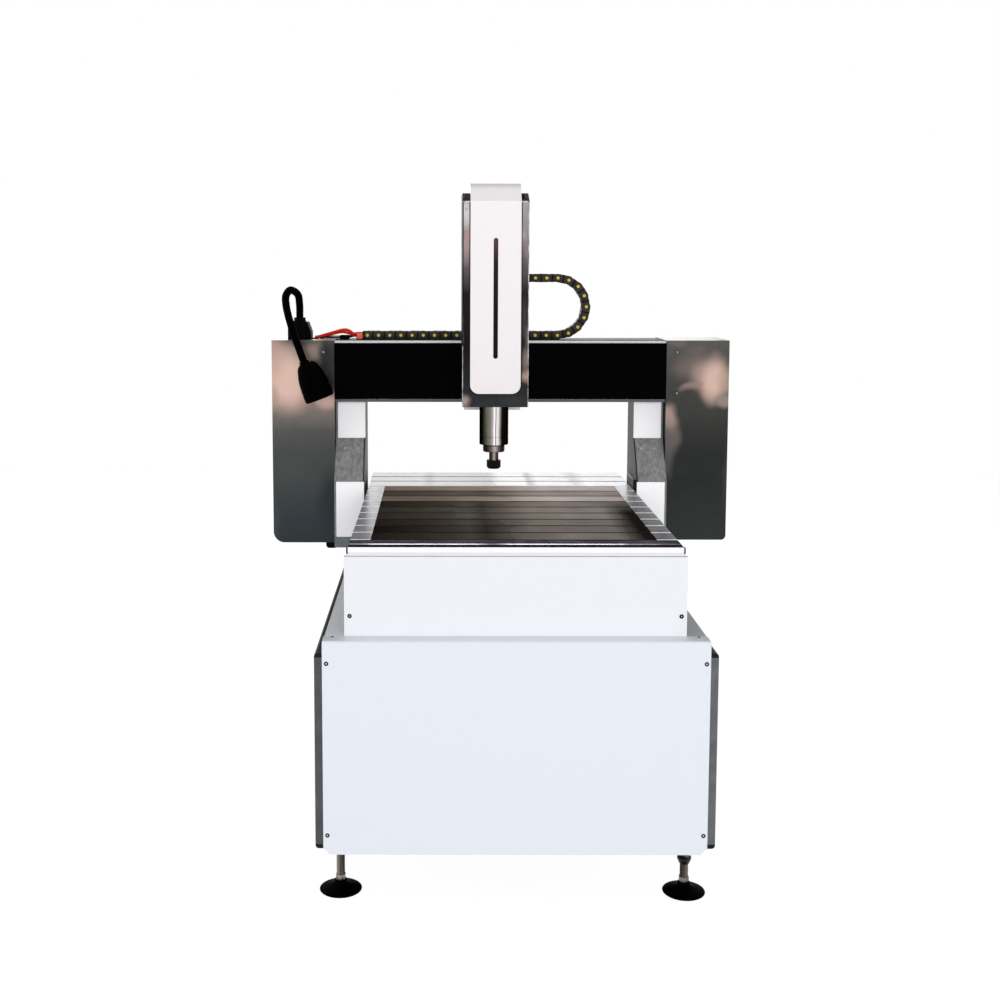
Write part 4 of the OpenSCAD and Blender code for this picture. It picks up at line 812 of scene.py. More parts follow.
def polished_border():
    """Drawn aluminium round the working area: bright, with painted reflections in light and dark
    stretches, and hazy darker patches.
    """
    material, tree, shader = start("polished_drawn_aluminium", Metallic=0.5,
                                   Specular_Tint=(0.45, 0.45, 0.46, 1))
    marks = grain(tree, 1.2, stretch=(80, 1, 1), detail=3.0)
    cloud = grain(tree, 42.0, stretch=(1.6, 1, 1), detail=4.0)
    spot = add(tree, "ShaderNodeSeparateXYZ", {
        "Vector": add(tree, "ShaderNodeTexCoord").outputs["Object"]})
    # The sides and back ramps are painted reflections: light and dark stretches across the border.
    sides = ramp(tree, span(tree, spot.outputs["X"], -0.38, 0.38, 0, 1),
                 [(0.0, "#8d898b"), (0.03, "#858183"), (0.055, "#3f3b3b"), (0.5, "#7a7474"),
                  (0.945, "#8f8d8f"), (0.97, "#a8a6a9"), (1.0, "#d6d6dc")])
    back = ramp(tree, span(tree, spot.outputs["X"], -0.38, 0.38, 0, 1),
                [(0.0, "#a5a29d"), (0.2, "#aba8a3"), (0.23, "#6d6b69"), (0.26, "#a6a39f"),
                 (0.47, "#8f8c8a"),
                 (0.5, "#dadadc"), (0.6, "#e6e6e8"), (0.62, "#6b6a70"), (0.65, "#e0e0e4"),
                 (0.76, "#dadae0"), (0.8, "#9f9ea2"), (0.84, "#e2e2e4"), (1.0, "#d4d4d6")])
    tone = blend_colour(tree, span(tree, spot.outputs["Y"], 0.235, 0.26, 0, 1), sides, back)
    haze = span(tree, cloud, 0.44, 0.66, 0, 0.35)
    tone = blend_colour(tree, haze, tone, "#8c8a8d")
    tree.links.new(blend_colour(tree, span(tree, marks, 0.45, 0.8, 0, 0.25), tone, "#8c8c91"),
                   shader.inputs["Base Color"])
    tree.links.new(span(tree, marks, 0.3, 0.7, 0.2, 0.3), shader.inputs["Roughness"])
    return material


slot_wall_painted_shade = plain_finish("painted_shade_in_slots", ("#14120f", "#241f1b"), 6.0, metallic=0.5,
                         roughness=(0.4, 0.5), Specular_IOR_Level=0.1)
strip_edge_painted_highlight = plain_finish("painted_highlight_on_strip_edge", ("#eeeef0", "#f8f8fa"), 6.0, metallic=0.3,
                           roughness=(0.3, 0.4))
first_strip_painted_reflection = plain_finish("drawn_aluminium_painted_reflection", ("#55505a", "#6e6973"), 60.0, metallic=0.3,
                          roughness=(0.35, 0.45), stretch=(1.5, 1, 1),
                          Specular_IOR_Level=0.0, Specular_Tint=(0.15, 0.15, 0.16, 1))
front_lip_painted_reflection = plain_finish("painted_reflection_on_front_lip", ("#332c39", "#4a4251"), 60.0, metallic=0.3,
                        roughness=(0.4, 0.5), Specular_IOR_Level=0.0,
                        Specular_Tint=(0.1, 0.1, 0.12, 1))
lip_painted_highlight = plain_finish("painted_highlight_on_lip_edge", ("#bdb9c6", "#cbc7d2"), 30.0, metallic=0.9,
                          roughness=(0.15, 0.25))
table_dark = skimmed_dark()
table_bright = polished_border()

# %% Table strips
SLOT_HALF, UNDERCUT_HALF = 0.004, 0.0075
UNDERCUT_Z = TABLE_LOW.z + 0.007
LIP_Y = (TABLE_LOW.y + 0.0305, TABLE_LOW.y + 0.0400)
LIP_DROP = 0.0001
EDGE = 0.0006


def strip_profile(y0, y1, slot_before, slot_after, top):
    """End profile of a strip as (y, z) points, round from the lower front."""
    wide0 = y0 + (SLOT_HALF if slot_before else 0)
    wide1 = y1 - (SLOT_HALF if slot_after else 0)
    narrow0 = y0 + (UNDERCUT_HALF if slot_before else 0)
    narrow1 = y1 - (UNDERCUT_HALF if slot_after else 0)
    lip = [(wide0 + EDGE, top), (wide0, top - EDGE)]
    if not slot_before:
        lip = [(LIP_Y[1], top), (LIP_Y[0], top - LIP_DROP), (wide0 + EDGE, top - LIP_DROP),
               (wide0, top - LIP_DROP - EDGE)]
    return [(narrow0, TABLE_LOW.z), (narrow1, TABLE_LOW.z), (narrow1, UNDERCUT_Z),
            (wide1, UNDERCUT_Z), (wide1, top - EDGE), (wide1 - EDGE, top),
            *lip, (wide0, UNDERCUT_Z), (narrow0, UNDERCUT_Z)]


def push_out(bm, profile, x0, x1):
    """One face from the profile, pushed out along X."""
    verts = [bm.verts.new((x0, y, z)) for y, z in profile]
    verts = [v for i, v in enumerate(verts) if (v.co - verts[i - 1].co).length > 1e-7]
    face = bm.faces.new(verts)
    made = bmesh.ops.extrude_face_region(bm, geom=[face])["geom"]
    moved = [g for g in made if isinstance(g, bmesh.types.BMVert)]
    bmesh.ops.translate(bm, vec=(x1 - x0, 0, 0), verts=moved)


bm = bmesh.new()
strips = round((TABLE_HIGH.y - TABLE_LOW.y) / STRIP_PITCH)
for i in range(strips):
    y0 = TABLE_LOW.y + i * STRIP_PITCH
    last = i == strips - 1
    y1 = TABLE_HIGH.y if last else y0 + STRIP_PITCH
    skimmed = 0 < i and y1 <= SKIM_Y[1]
    sections = [(TABLE_LOW.x, TABLE_HIGH.x, TABLE_HIGH.z)]
    if skimmed:
        sections = [(TABLE_LOW.x, -SKIM_X, TABLE_HIGH.z), (SKIM_X, TABLE_HIGH.x, TABLE_HIGH.z),
                    (-SKIM_X, SKIM_X, TABLE_HIGH.z - SKIM_DEPTH)]
    for x0, x1, top in sections:
        push_out(bm, strip_profile(y0, y1, i > 0, not last, top), x0, x1)
bmesh.ops.recalc_face_normals(bm, faces=bm.faces)
for face in bm.faces:
    middle = face.calc_center_median()
    inside = abs(middle.x) < SKIM_X and SKIM_Y[0] < middle.y < SKIM_Y[1]
    if face.normal.z > 0.9 and abs(middle.z - (TABLE_HIGH.z - SKIM_DEPTH)) < 1e-4:
        face.material_index = 1
    # Slot walls: painted shade in the working area and at the back, a painted highlight near the
    # front.
    elif inside and abs(face.normal.y) > 0.3:
        face.material_index = 2
    # The lip's top is a painted highlight; the first strip's top before and behind it is painted
    # reflection.
    elif face.normal.z > 0.9 and LIP_Y[0] < middle.y < LIP_Y[1]:
        face.material_index = 6
    elif face.normal.y < -0.3:
        face.material_index = 2 if middle.y > 0.30 else 3
    elif face.normal.z > 0.9 and middle.y < LIP_Y[0]:
        face.material_index = 5
    elif face.normal.z > 0.9 and middle.y < SKIM_Y[0]:
        face.material_index = 4
finish_piece("bed_strips", bm, [table_bright, table_dark, slot_wall_painted_shade, strip_edge_painted_highlight, first_strip_painted_reflection,
                                front_lip_painted_reflection, lip_painted_highlight], "base", ["bed_table"], weld=0)
print("table strips:", strips)

# %% [markdown]
# Black plastic end caps close the ends of the table's front edge.

# %% Table end caps
bm = bmesh.new()
for side in (-1, 1):
    x = side * (TABLE_HIGH.x + 0.0012)
    slab(bm, (x - 0.0026, TABLE_LOW.y + 0.0002, TABLE_LOW.z - 0.004),
         (x + 0.0026, TABLE_LOW.y + 0.0102, TABLE_HIGH.z - 0.0005), 1.6, 3)
finish_piece("table_end_caps", bm, lamp_plastic, "base")
print("end caps made")

# %% [markdown]
# A thread starts as one short profile, spun once round the bar while it climbs
# by its pitch. Copies of that turn are stacked, which is much quicker than one
# long spin. A stud has a sharp V, a ball screw a wide shallow
# groove. `bolt_head` gives a round head with a hexagon recess.

# %% Threads and screw heads
def thread(bm, centre, profile_mm, pitch_mm, length, axis, steps=20):
    """Spins one turn of (radius, share of pitch), then stacks copies of it."""
    way = {"X": Vector((1, 0, 0)), "Y": Vector((0, 1, 0)), "Z": Vector((0, 0, 1))}[axis]
    out = {"X": Vector((0, 0, 1)), "Y": Vector((1, 0, 0)), "Z": Vector((1, 0, 0))}[axis]
    turns = max(1, int(length / (pitch_mm * MM)) - 1)
    points = [Vector(centre) + out * (r * MM) + way * (share * pitch_mm * MM)
              for r, share in profile_mm]
    turn = bmesh.new()
    verts = [turn.verts.new(p) for p in points]
    edges = [turn.edges.new(pair) for pair in zip(verts, verts[1:])]
    bmesh.ops.spin(turn, geom=verts + edges, cent=centre, axis=way,
                   dvec=way * (pitch_mm * MM / steps), angle=2 * math.pi, steps=steps)
    one_turn = bpy.data.meshes.new("one_turn")
    turn.to_mesh(one_turn)
    turn.free()
    for i in range(turns):
        first = len(bm.verts)
        bm.from_mesh(one_turn)
        bm.verts.ensure_lookup_table()
        bmesh.ops.translate(bm, vec=way * (pitch_mm * MM * i), verts=bm.verts[first:])
    bpy.data.meshes.remove(one_turn)


def hexagon(bm, centre, flats_mm, height_mm, axis="Z", chamfer_mm=0.8):
    """A hexagonal nut or head with chamfered corners, its foot at centre."""
    turns = {"Z": Matrix.Identity(4), "X": Matrix.Rotation(math.pi / 2, 4, "Y"),
             "Y": Matrix.Rotation(-math.pi / 2, 4, "X")}
    spot = Matrix.Translation(centre) @ turns[axis] @ Matrix.Translation((0, 0, height_mm * MM / 2))
    radius = flats_mm * MM / 2 / math.cos(math.pi / 6)
    made = bmesh.ops.create_cone(bm, cap_ends=True, segments=6, radius1=radius, radius2=radius,
                                 depth=height_mm * MM, matrix=spot)["verts"]
    edges = list({e for v in made for e in v.link_edges})
    bmesh.ops.bevel(bm, geom=edges, offset=chamfer_mm * MM, offset_type="OFFSET",
                    affect="EDGES", segments=2, profile=0.5, material=-1)


def bolt_head(bm, centre, out, radius_mm, height_mm, key_mm, sunk=False):
    """A screw head facing along out, with a hexagon recess."""
    turn = Vector((0, 0, 1)).rotation_difference(Vector(out)).to_matrix()
    key = key_mm / 2
    top = height_mm
    rim = [(radius_mm, -0.4), (radius_mm, top * 0.55), (radius_mm * 0.88, top * 0.9),
           (radius_mm * 0.7, top)]
    if sunk:
        rim = [(radius_mm, -0.4), (radius_mm, top * 0.6), (radius_mm - 0.35, top)]
    lathe(bm, [(0, top - 1.6), (key * 0.96, top - 1.6), (key, top - 0.2), (key * 1.12, top),
               *reversed(rim)], centre, "Z", 24 if not sunk else 28, turn)


# %% Levelling feet
FEET = ("foot_front_left", "foot_front_right", "foot_rear_left", "foot_rear_right")
foot_places = {}
for node in FEET:
    low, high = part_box(node)
    centre = Vector(((low.x + high.x) / 2, (low.y + high.y) / 2, 0))
    foot_places[node] = centre
    rim_mm = (high.x - low.x) / MM / 2
    bm = bmesh.new()
    lathe(bm, [(0, 0), (rim_mm - 6, 0), (rim_mm - 2, 1.2), (rim_mm - 0.3, 2.6), (rim_mm, 3.6),
               (rim_mm - 0.8, 4.8), (rim_mm - 4, 6.2), (rim_mm - 12, 9.0), (rim_mm - 20, 12.0),
               (20, 15.6), (17, 18.4), (15.4, 21.4), (14.8, 25.4), (13.2, 26.4), (0, 26.4)],
          centre, "Z", 64)
    finish_piece(node + "_pad", bm, foot_rubber, node_body(node), [node])
    bm = bmesh.new()
    hexagon(bm, centre + Vector((0, 0, 0.0262)), 22.0, 13.6)
    lathe(bm, [(8.6, 39.0), (8.6, high.z / MM - 1), (7.6, high.z / MM), (0, high.z / MM)],
          centre, "Z", 24)
    thread(bm, centre + Vector((0, 0, 0.0396)), [(8.7, 0), (9.95, 0.42), (9.95, 0.58), (8.7, 1)],
           2.5, high.z - 0.0396, "Z")
    finish_piece(node + "_stem", bm, stem_steel, node_body(node), [node])
print("feet:", len(foot_places))

# %% [markdown]
# A lock nut on each stud holds the base at its height. The front right one is
# backed off for adjusting, and it is a nut with a cone-shaped collar.

# %% Lock nuts and panel screws
bm = bmesh.new()
nut_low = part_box("base_frame")[0].z - 0.0003 - 0.016
for node, centre in foot_places.items():
    if node == "foot_front_right":
        foot = centre + Vector((0, 0, 0.072))
        lathe(bm, [(10.3, 0), (11.6, 0), (12.2, 0.8), (16.2, 10.4), (16.5, 11.2), (16.5, 15.2),
                   (15.8, 16.0), (10.3, 16.0), (10.3, 0)], foot, "Z", 40)
    else:
        hexagon(bm, centre + Vector((0, 0, nut_low)), 30.0, 16.0, chamfer_mm=1.2)
finish_piece("lock_nuts", bm, black_oxide, "base", ["base_fasteners"], weld=0)

panel_low, panel_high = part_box("front_panel")
upper_low, upper_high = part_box("upper_front_panel")
rear_low, rear_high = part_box("rear_panel")
upper_rear_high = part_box("upper_rear_panel")[1]
bm = bmesh.new()
count = 0
for side in (-1, 1):
    for z in (panel_low.z + 0.0455, panel_high.z - 0.051):
        x = side * (panel_high.x - 0.0095)
        bolt_head(bm, (x, panel_low.y, z), (0, -1, 0), 5.1, 0.6, 3.4, sunk=True)
        bolt_head(bm, (x, rear_high.y, z), (0, 1, 0), 5.1, 0.6, 3.4, sunk=True)
        count += 2
    x = side * (upper_high.x - 0.0125)
    bolt_head(bm, (x, upper_low.y, upper_low.z + 0.046), (0, -1, 0), 5.1, 1.2, 3.0)
    bolt_head(bm, (x, upper_rear_high.y, upper_low.z + 0.046), (0, 1, 0), 5.1, 1.2, 3.0)
    x = side * (panel_high.x - 0.021)
    bolt_head(bm, (x, panel_high.y - 0.008, panel_high.z), (0, 0, 1), 3.0, 1.2, 2.4)
    bolt_head(bm, (x, rear_low.y + 0.008, panel_high.z), (0, 0, 1), 3.0, 1.2, 2.4)
    count += 4
finish_piece("panel_screws", bm, dark_zinc, "base", ["base_fasteners"])
print("panel screws:", count)

# %% [markdown]
# The end housings are held by bright socket screws that sit in a dark ring,
# and each slanted facet of the columns by two small ones.

# %% Gantry screws
house_low, house_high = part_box("housing_right")
GANTRY_FRONT = house_low.y
bm = bmesh.new()
rings = bmesh.new()
for side in (-1, 1):
    for drop in (0.034, 0.152):
        spot = (side * (house_low.x + 0.031), GANTRY_FRONT, house_high.z - drop)
        bolt_head(bm, spot, (0, -1, 0), 3.6, 1.5, 2.8)
        lathe(rings, [(3.4, 0.0), (3.4, 0.35), (5.2, 0.35), (5.5, 0.0)], spot, "Z", 28,
              Vector((0, 0, 1)).rotation_difference(Vector((0, -1, 0))).to_matrix())
run = (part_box("columns")[0].y, GANTRY_FRONT + 0.042, 0.859, 0.976)
slope = (run[1] - run[0]) / (run[3] - run[2])
out = Vector((0, -1, slope)).normalized()
for side in (-1, 1):
    for x in (0.411, 0.449):
        bolt_head(bm, (side * x, run[1] - 0.028 * slope, run[3] - 0.028), out, 3.2, 1.2, 2.6)
finish_piece("gantry_screw_heads", bm, zinc, "gantry", ["gantry_screws"])
finish_piece("gantry_screw_rings", rings, black_oxide, "gantry")
print("gantry screws: 8")

# %% [markdown]
# Stepper motors have a stack of black laminations between two cast end
# shields, so their faces take one of two finishes by where they lie.

# %% Motors
motor_black = plain_finish("black_motor_laminations", ("#0f1012", "#1a1b1d"), 0.9,
                           metallic=0.5, roughness=(0.4, 0.5), depth_mm=0.02, stretch=(8, 8, 1))
cast_shield = plain_finish("cast_motor_shield", ("#85888c", "#a0a3a6"), 1.4, metallic=0.9,
                           roughness=(0.4, 0.5), depth_mm=0.02)
for node, axis in (("y_motors", 1), ("x_motor", 0), ("z_motor", 2)):
    bm = merged_copy(node)
    bevel_sharp(bm, 0.8)
    low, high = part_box(node)
    for face in bm.faces:
        at = face.calc_center_median()[axis]
        middle = low[axis] + 0.0095 < at < high[axis] - 0.0065
        if axis == 0:
            middle = low[axis] + 0.0065 < at < high[axis] - 0.0095
        face.material_index = 0 if middle else 1
    finish_piece(node + "_finished", bm, [motor_black, cast_shield], node_body(node),
                 [node], weld=0)
print("motors finished")

# %% [markdown]
# The four ball screws get their grooves and keep plain ends in the bearings.

# %% Ball screws
SCREWS = {"y_screw_left": ("Y", 10.0, 0.010), "y_screw_right": ("Y", 10.0, 0.010),
          "x_screw": ("X", 8.0, 0.008), "z_screw": ("Z", 8.0, 0.008)}
for node, (axis, radius_mm, pitch) in SCREWS.items():
    low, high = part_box(node)
    index = "XYZ".index(axis)
    centre = (low + high) / 2
    foot, top = low[index], high[index]
    head_mm = max(high[i] - low[i] for i in range(3) if i != index) / MM / 2
    at_low = axis == "X"
    coupling = 0.030 if axis == "X" else (0.018 if axis == "Y" else 0.034)
    shaft0 = foot + (coupling if at_low else 0)
    shaft1 = top - (0 if at_low else coupling)
    start_at, core_at, grip_at = centre.copy(), centre.copy(), centre.copy()
    core_at[index] = shaft0
    start_at[index] = shaft0 + 0.002
    grip_at[index] = foot if at_low else top - coupling
    bm = bmesh.new()
    long_mm = (shaft1 - shaft0) / MM
    lathe(bm, [(0, 0), (radius_mm - 1.0, 0), (radius_mm - 1.0, long_mm), (0, long_mm)],
          core_at, axis, 24)
    thread(bm, start_at, [(radius_mm, 0), (radius_mm, 0.4), (radius_mm - 0.9, 0.55),
                          (radius_mm - 1.2, 0.7), (radius_mm - 0.9, 0.85), (radius_mm, 1)],
           pitch / MM / 2, shaft1 - shaft0 - 0.004, axis, 16)
    grip_mm = coupling / MM
    lathe(bm, [(0, 0), (head_mm - 1, 0), (head_mm, 1), (head_mm, grip_mm * 0.46),
               (head_mm - 1.6, grip_mm * 0.47), (head_mm - 1.6, grip_mm * 0.53),
               (head_mm, grip_mm * 0.54), (head_mm, grip_mm - 1), (head_mm - 1, grip_mm),
               (0, grip_mm)], grip_at, axis, 32)
    finish_piece(node + "_thread", bm, ground_steel, node_body(node), [node])
print("ball screws:", len(SCREWS))

# %% [markdown]
# A drag chain link is two side plates joined by a bar above and below, with a
# round yellow pin at each joint. Wide and narrow links alternate, and each
# plate is the hull of two discs, pushed out and bevelled.

# %% Drag chain
LINK_MM = 32.7
LINK_H, LINK_W, BEND_R = 25.0, 42.0, 83.5
LOWER, LOOP, UPPER = 17, 8, 8
chain_low, chain_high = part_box("chain_lower")
CHAIN_X = chain_low.x + LINK_H * MM / 2
CHAIN_Y = (chain_low.y + chain_high.y) / 2
CHAIN_Z = (chain_low.z + chain_high.z) / 2
LOOP_X = CHAIN_X + LOWER * LINK_MM * MM


def link_plate(bm, length_mm, height_mm, y_mm, thick_mm):
    """One side plate in link space: x along the link, y across, z up."""
    plate = bmesh.new()
    for x in (0, length_mm):
        for y in (y_mm - thick_mm / 2, y_mm + thick_mm / 2):
            spot = Matrix.Translation((x, y, 0)) @ Matrix.Rotation(math.pi / 2, 4, "X")
            bmesh.ops.create_circle(plate, cap_ends=False, segments=28, radius=height_mm / 2,
                                    matrix=spot)
    hull = bmesh.ops.convex_hull(plate, input=plate.verts[:], use_existing_faces=False)
    spare = list({v for v in hull["geom_interior"] + hull["geom_unused"]
                  if isinstance(v, bmesh.types.BMVert)})
    bmesh.ops.delete(plate, geom=spare, context="VERTS")
    wires = [e for e in plate.edges if not e.link_faces]
    bmesh.ops.delete(plate, geom=wires, context="EDGES")
    bmesh.ops.dissolve_limit(plate, angle_limit=math.radians(1), verts=plate.verts,
                             edges=plate.edges)
    bmesh.ops.recalc_face_normals(plate, faces=plate.faces)
    rims = [e for e in plate.edges if len(e.link_faces) == 2 and e.calc_face_angle(0) > 1.2]
    bmesh.ops.bevel(plate, geom=rims, offset=0.9, offset_type="OFFSET", affect="EDGES",
                    segments=2, profile=0.5, material=-1)
    mesh = bpy.data.meshes.new("plate")
    plate.to_mesh(mesh)
    plate.free()
    bm.from_mesh(mesh)
    bpy.data.meshes.remove(mesh)


def chain_link(wide, length_mm):
    """One link as a bmesh in millimetres, its first pivot at the origin."""
    bm = bmesh.new()
    plate = 4.2
    across = LINK_W / 2 - plate / 2 if wide else LINK_W / 2 - plate * 1.5 - 0.2
    height = LINK_H - (0.6 if wide else 1.6)
    for side in (-1, 1):
        link_plate(bm, length_mm, height, side * across, plate)
    for side in (-1, 1):
        slab(bm, (length_mm * 0.24, -across, side * (height / 2 - 1.7) - 1.5),
             (length_mm * 0.80, across, side * (height / 2 - 1.7) + 1.5))
        slab(bm, (length_mm * 0.40, -across - 1.6, side * (height / 2 - 1.0) - 1.4),
             (length_mm * 0.62, across + 1.6, side * (height / 2 - 1.0) + 1.4))
    for face in bm.faces:
        face.material_index = 0
    before = set(bm.faces)
    for side in (-1, 1):
        y = side * (across + plate / 2 + 0.12)
        slab(bm, (length_mm / 2 - 1.5, y - 0.15, -height * 0.44),
             (length_mm / 2 + 1.5, y + 0.15, height * 0.44))
    for face in bm.faces:
        if face not in before:
            face.material_index = 2
    if wide:
        before = set(bm.faces)
        for x in (0, length_mm):
            for side in (-1, 1):
                spot = (Matrix.Translation((x, side * (LINK_W / 2 + 0.1), 0))
                        @ Matrix.Rotation(math.pi / 2, 4, "X"))
                made = bmesh.ops.create_cone(bm, cap_ends=True, segments=20, radius1=4.6,
                                             radius2=4.6, depth=1.0, matrix=spot)["verts"]
                edges = list({e for v in made for e in v.link_edges})
                caps = [e for e in edges if any(len(f.verts) > 4 for f in e.link_faces)]
                bmesh.ops.bevel(bm, geom=caps, offset=0.25, offset_type="OFFSET",
                                affect="EDGES", segments=1, profile=0.5, material=-1)
        for face in bm.faces:
            if face not in before:
                face.material_index = 1
    mesh = bpy.data.meshes.new("link")
    bmesh.ops.recalc_face_normals(bm, faces=bm.faces)
    bm.to_mesh(mesh)
    bm.free()
    return mesh


def chain_run(name, links, length_mm, node):
    """Copies of the two links at the given places, as one piece."""
    meshes = {wide: chain_link(wide, length_mm) for wide in (False, True)}
    bm = bmesh.new()
    for wide, spot in links:
        first = len(bm.verts)
        bm.from_mesh(meshes[wide])
        bm.verts.ensure_lookup_table()
        bmesh.ops.transform(bm, matrix=spot, verts=bm.verts[first:])
    piece = finish_piece(name, bm, [chain_nylon, pin_nylon, black_gloss], None,
                         [node], weld=0)
    for mesh in meshes.values():
        bpy.data.meshes.remove(mesh)
    return piece


def link_place(x, z, turn=0.0):
    return (Matrix.Translation((x, CHAIN_Y, z)) @ Matrix.Rotation(-turn, 4, "Y")
            @ Matrix.Diagonal((MM, MM, MM, 1)))


lower = chain_run("drag_chain_lower_run",
                  [(i % 2 == 0, link_place(CHAIN_X + i * LINK_MM * MM,
                                           CHAIN_Z)) for i in range(LOWER)],
                  LINK_MM, "chain_lower")
bm = bmesh.new()
slab(bm, (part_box("chain_end")[1].x - 0.001, CHAIN_Y - 0.0155, CHAIN_Z - 0.0118),
     (CHAIN_X + 0.003, CHAIN_Y + 0.0155, CHAIN_Z + 0.0118), 0.6)
finish_piece("chain_end_bracket", bm, block_plastic, "gantry")
step = math.pi / LOOP
chord = 2 * BEND_R * math.sin(step / 2)
loop_links = []
for i in range(LOOP):
    angle = i * step
    x = LOOP_X + BEND_R * MM * math.sin(angle)
    z = CHAIN_Z + BEND_R * MM * (1 - math.cos(angle))
    loop_links.append((i % 2 == 1, link_place(x, z, angle + step / 2)))
loop = chain_run("drag_chain_loop", loop_links, chord, "chain_loop")
UPPER_Z = CHAIN_Z + 2 * BEND_R * MM
upper = chain_run("drag_chain_upper_run",
                  [(i % 2 == 0, link_place(LOOP_X - i * LINK_MM * MM, UPPER_Z)) for i in range(1,
                      UPPER + 1)],
                  LINK_MM, "chain_upper")
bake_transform(lower)
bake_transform(loop)
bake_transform(upper)
print("drag chain links:", LOWER + LOOP + UPPER)

# %% [markdown]
# Two red cables and a black one leave the left housing through grommets and
# arch over to the fixed end of the chain. A small clip holds the black one on
# the beam. Their points are those of the CAD, smoothed the same way.

# %% Cables
def smooth_path(points, steps):
    """Catmull-Rom through the points, in millimetres."""
    result = []
    last = len(points) - 1
    for i in range(last):
        a, b, c, d = (Vector(points[min(max(k, 0), last)]) for k in (i - 1, i, i + 1, i + 2))
        for k in range(steps):
            t = k / steps
            result.append(0.5 * (2 * b + (c - a) * t + (2 * a - 5 * b + 4 * c - d) * t * t
                                 + (3 * b - a - 3 * c + d) * t ** 3))
    return result + [Vector(points[last])]


CABLES = {
    "red_cable_front": (red_pvc, [(-537, 320, 1267.5), (-492, 318, 1280.5), (-459, 321, 1289.5),
                                  (-441, 324, 1287.5), (-428.8, 324, 1279.1),
                                  (-419.8, 324, 1278.5)]),
    "red_cable_back": (red_pvc, [(-541, 330, 1267.5), (-497, 330, 1275.5), (-463, 332, 1282.5),
                                 (-442, 333, 1279), (-428.8, 333, 1274.9), (-419.8, 333, 1274.5)]),
    "black_cable": (black_pvc, [(-523, 341, 1267.5), (-493, 342, 1267.3), (-453, 343, 1267.3),
                                (-428.8, 343, 1271.2), (-419.8, 343, 1271.5)]),
}
for name, (material, points) in CABLES.items():
    route = [p * MM for p in smooth_path(points, 4)]
    data = bpy.data.curves.new(name, "CURVE")
    data.dimensions = "3D"
    data.bevel_depth = 0.004
    data.bevel_resolution = 5
    data.use_fill_caps = True
    spline = data.splines.new("POLY")
    spline.points.add(len(route) - 1)
    for point, place_at in zip(spline.points, route):
        point.co = (*place_at, 1)
    data.materials.append(material)
    cable = bpy.data.objects.new(name, data)
    bpy.context.scene.collection.objects.link(cable)
    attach(cable, "gantry")
    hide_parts("cables")

bm = bmesh.new()
for points in (entry[1] for entry in CABLES.values()):
    spot = Vector(points[0]) * MM
    spot.z = house_high.z
    lathe(bm, [(4.2, 0.2), (5.2, 0.2), (7.2, 0.6), (7.2, 2.6), (6.2, 3.4), (4.2, 3.4), (4.2, 0.2)],
          spot, "Z", 24)
finish_piece("cable_grommets", bm, lamp_plastic, "gantry")
bm = bmesh.new()
beam_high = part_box("gantry_beam")[1]
for drop in (0.0006, 0.0058):
    slab(bm, (-0.497, beam_high.y - 0.090, beam_high.z + drop),
         (-0.470, beam_high.y - 0.074, beam_high.z + drop + 0.0028), 0.8, 2)
finish_piece("cable_clip", bm, zinc, "gantry")
bm = bmesh.new()
slab(bm, (-0.495, beam_high.y - 0.089, beam_high.z + 0.0002),
     (-0.470, beam_high.y - 0.075, beam_high.z + 0.0105), 1.0, 2)
slab(bm, (-0.468, beam_high.y - 0.090, beam_high.z + 0.0002),
     (-0.441, beam_high.y - 0.074, beam_high.z + 0.0125), 1.5, 3)
finish_piece("cable_clamp", bm, block_plastic, "gantry")
print("grommets and clip made")

# %% [markdown]
# The work lamp stands on a magnet block on the left housing. Its gooseneck is
# a wound metal hose under a black sleeve, so it is ribbed all along.

# %% Lamp block and gooseneck
softened("lamp_base", block_plastic, 0.8)
NECK = [(-583, 310, 1318), (-583, 310, 1328), (-583, 310, 1340), (-583, 307, 1362.5),
        (-586, 291, 1392.5), (-603, 257, 1406), (-613, 228, 1390), (-611, 213, 1364),
        (-604, 202, 1335), (-594, 193, 1303), (-583, 187.5, 1271), (-571, 186, 1237.5),
        (-562.1, 186, 1212.1), (-557.2, 186, 1199.3)]
fine = smooth_path(NECK, 60)
RIB_MM = 3.2
route, walked = [fine[0]], 0.0
for a, b in zip(fine, fine[1:]):
    walked += (b - a).length
    if walked >= RIB_MM / 4:
        route.append(b)
        walked = 0.0
bm = bmesh.new()
previous = None
for i, point in enumerate(route):
    ahead = route[min(i + 1, len(route) - 1)] - route[max(i - 1, 0)]
    turn = Vector((0, 0, 1)).rotation_difference(ahead.normalized()).to_matrix().to_4x4()
    radius = (11.0, 10.7, 9.9, 10.7)[i % 4]
    ring = bmesh.ops.create_circle(bm, cap_ends=False, segments=22, radius=radius * MM,
                                   matrix=Matrix.Translation(point * MM) @ turn)["verts"]
    edges = [e for v in ring for e in v.link_edges]
    edges = list({e for e in edges if all(v in ring for v in e.verts)})
    if previous:
        bmesh.ops.bridge_loops(bm, edges=previous + edges)
    previous = edges
finish_piece("lamp_gooseneck", bm, lamp_plastic, "gantry", ["lamp_neck"])
print("gooseneck ribs:", len(route) // 4)

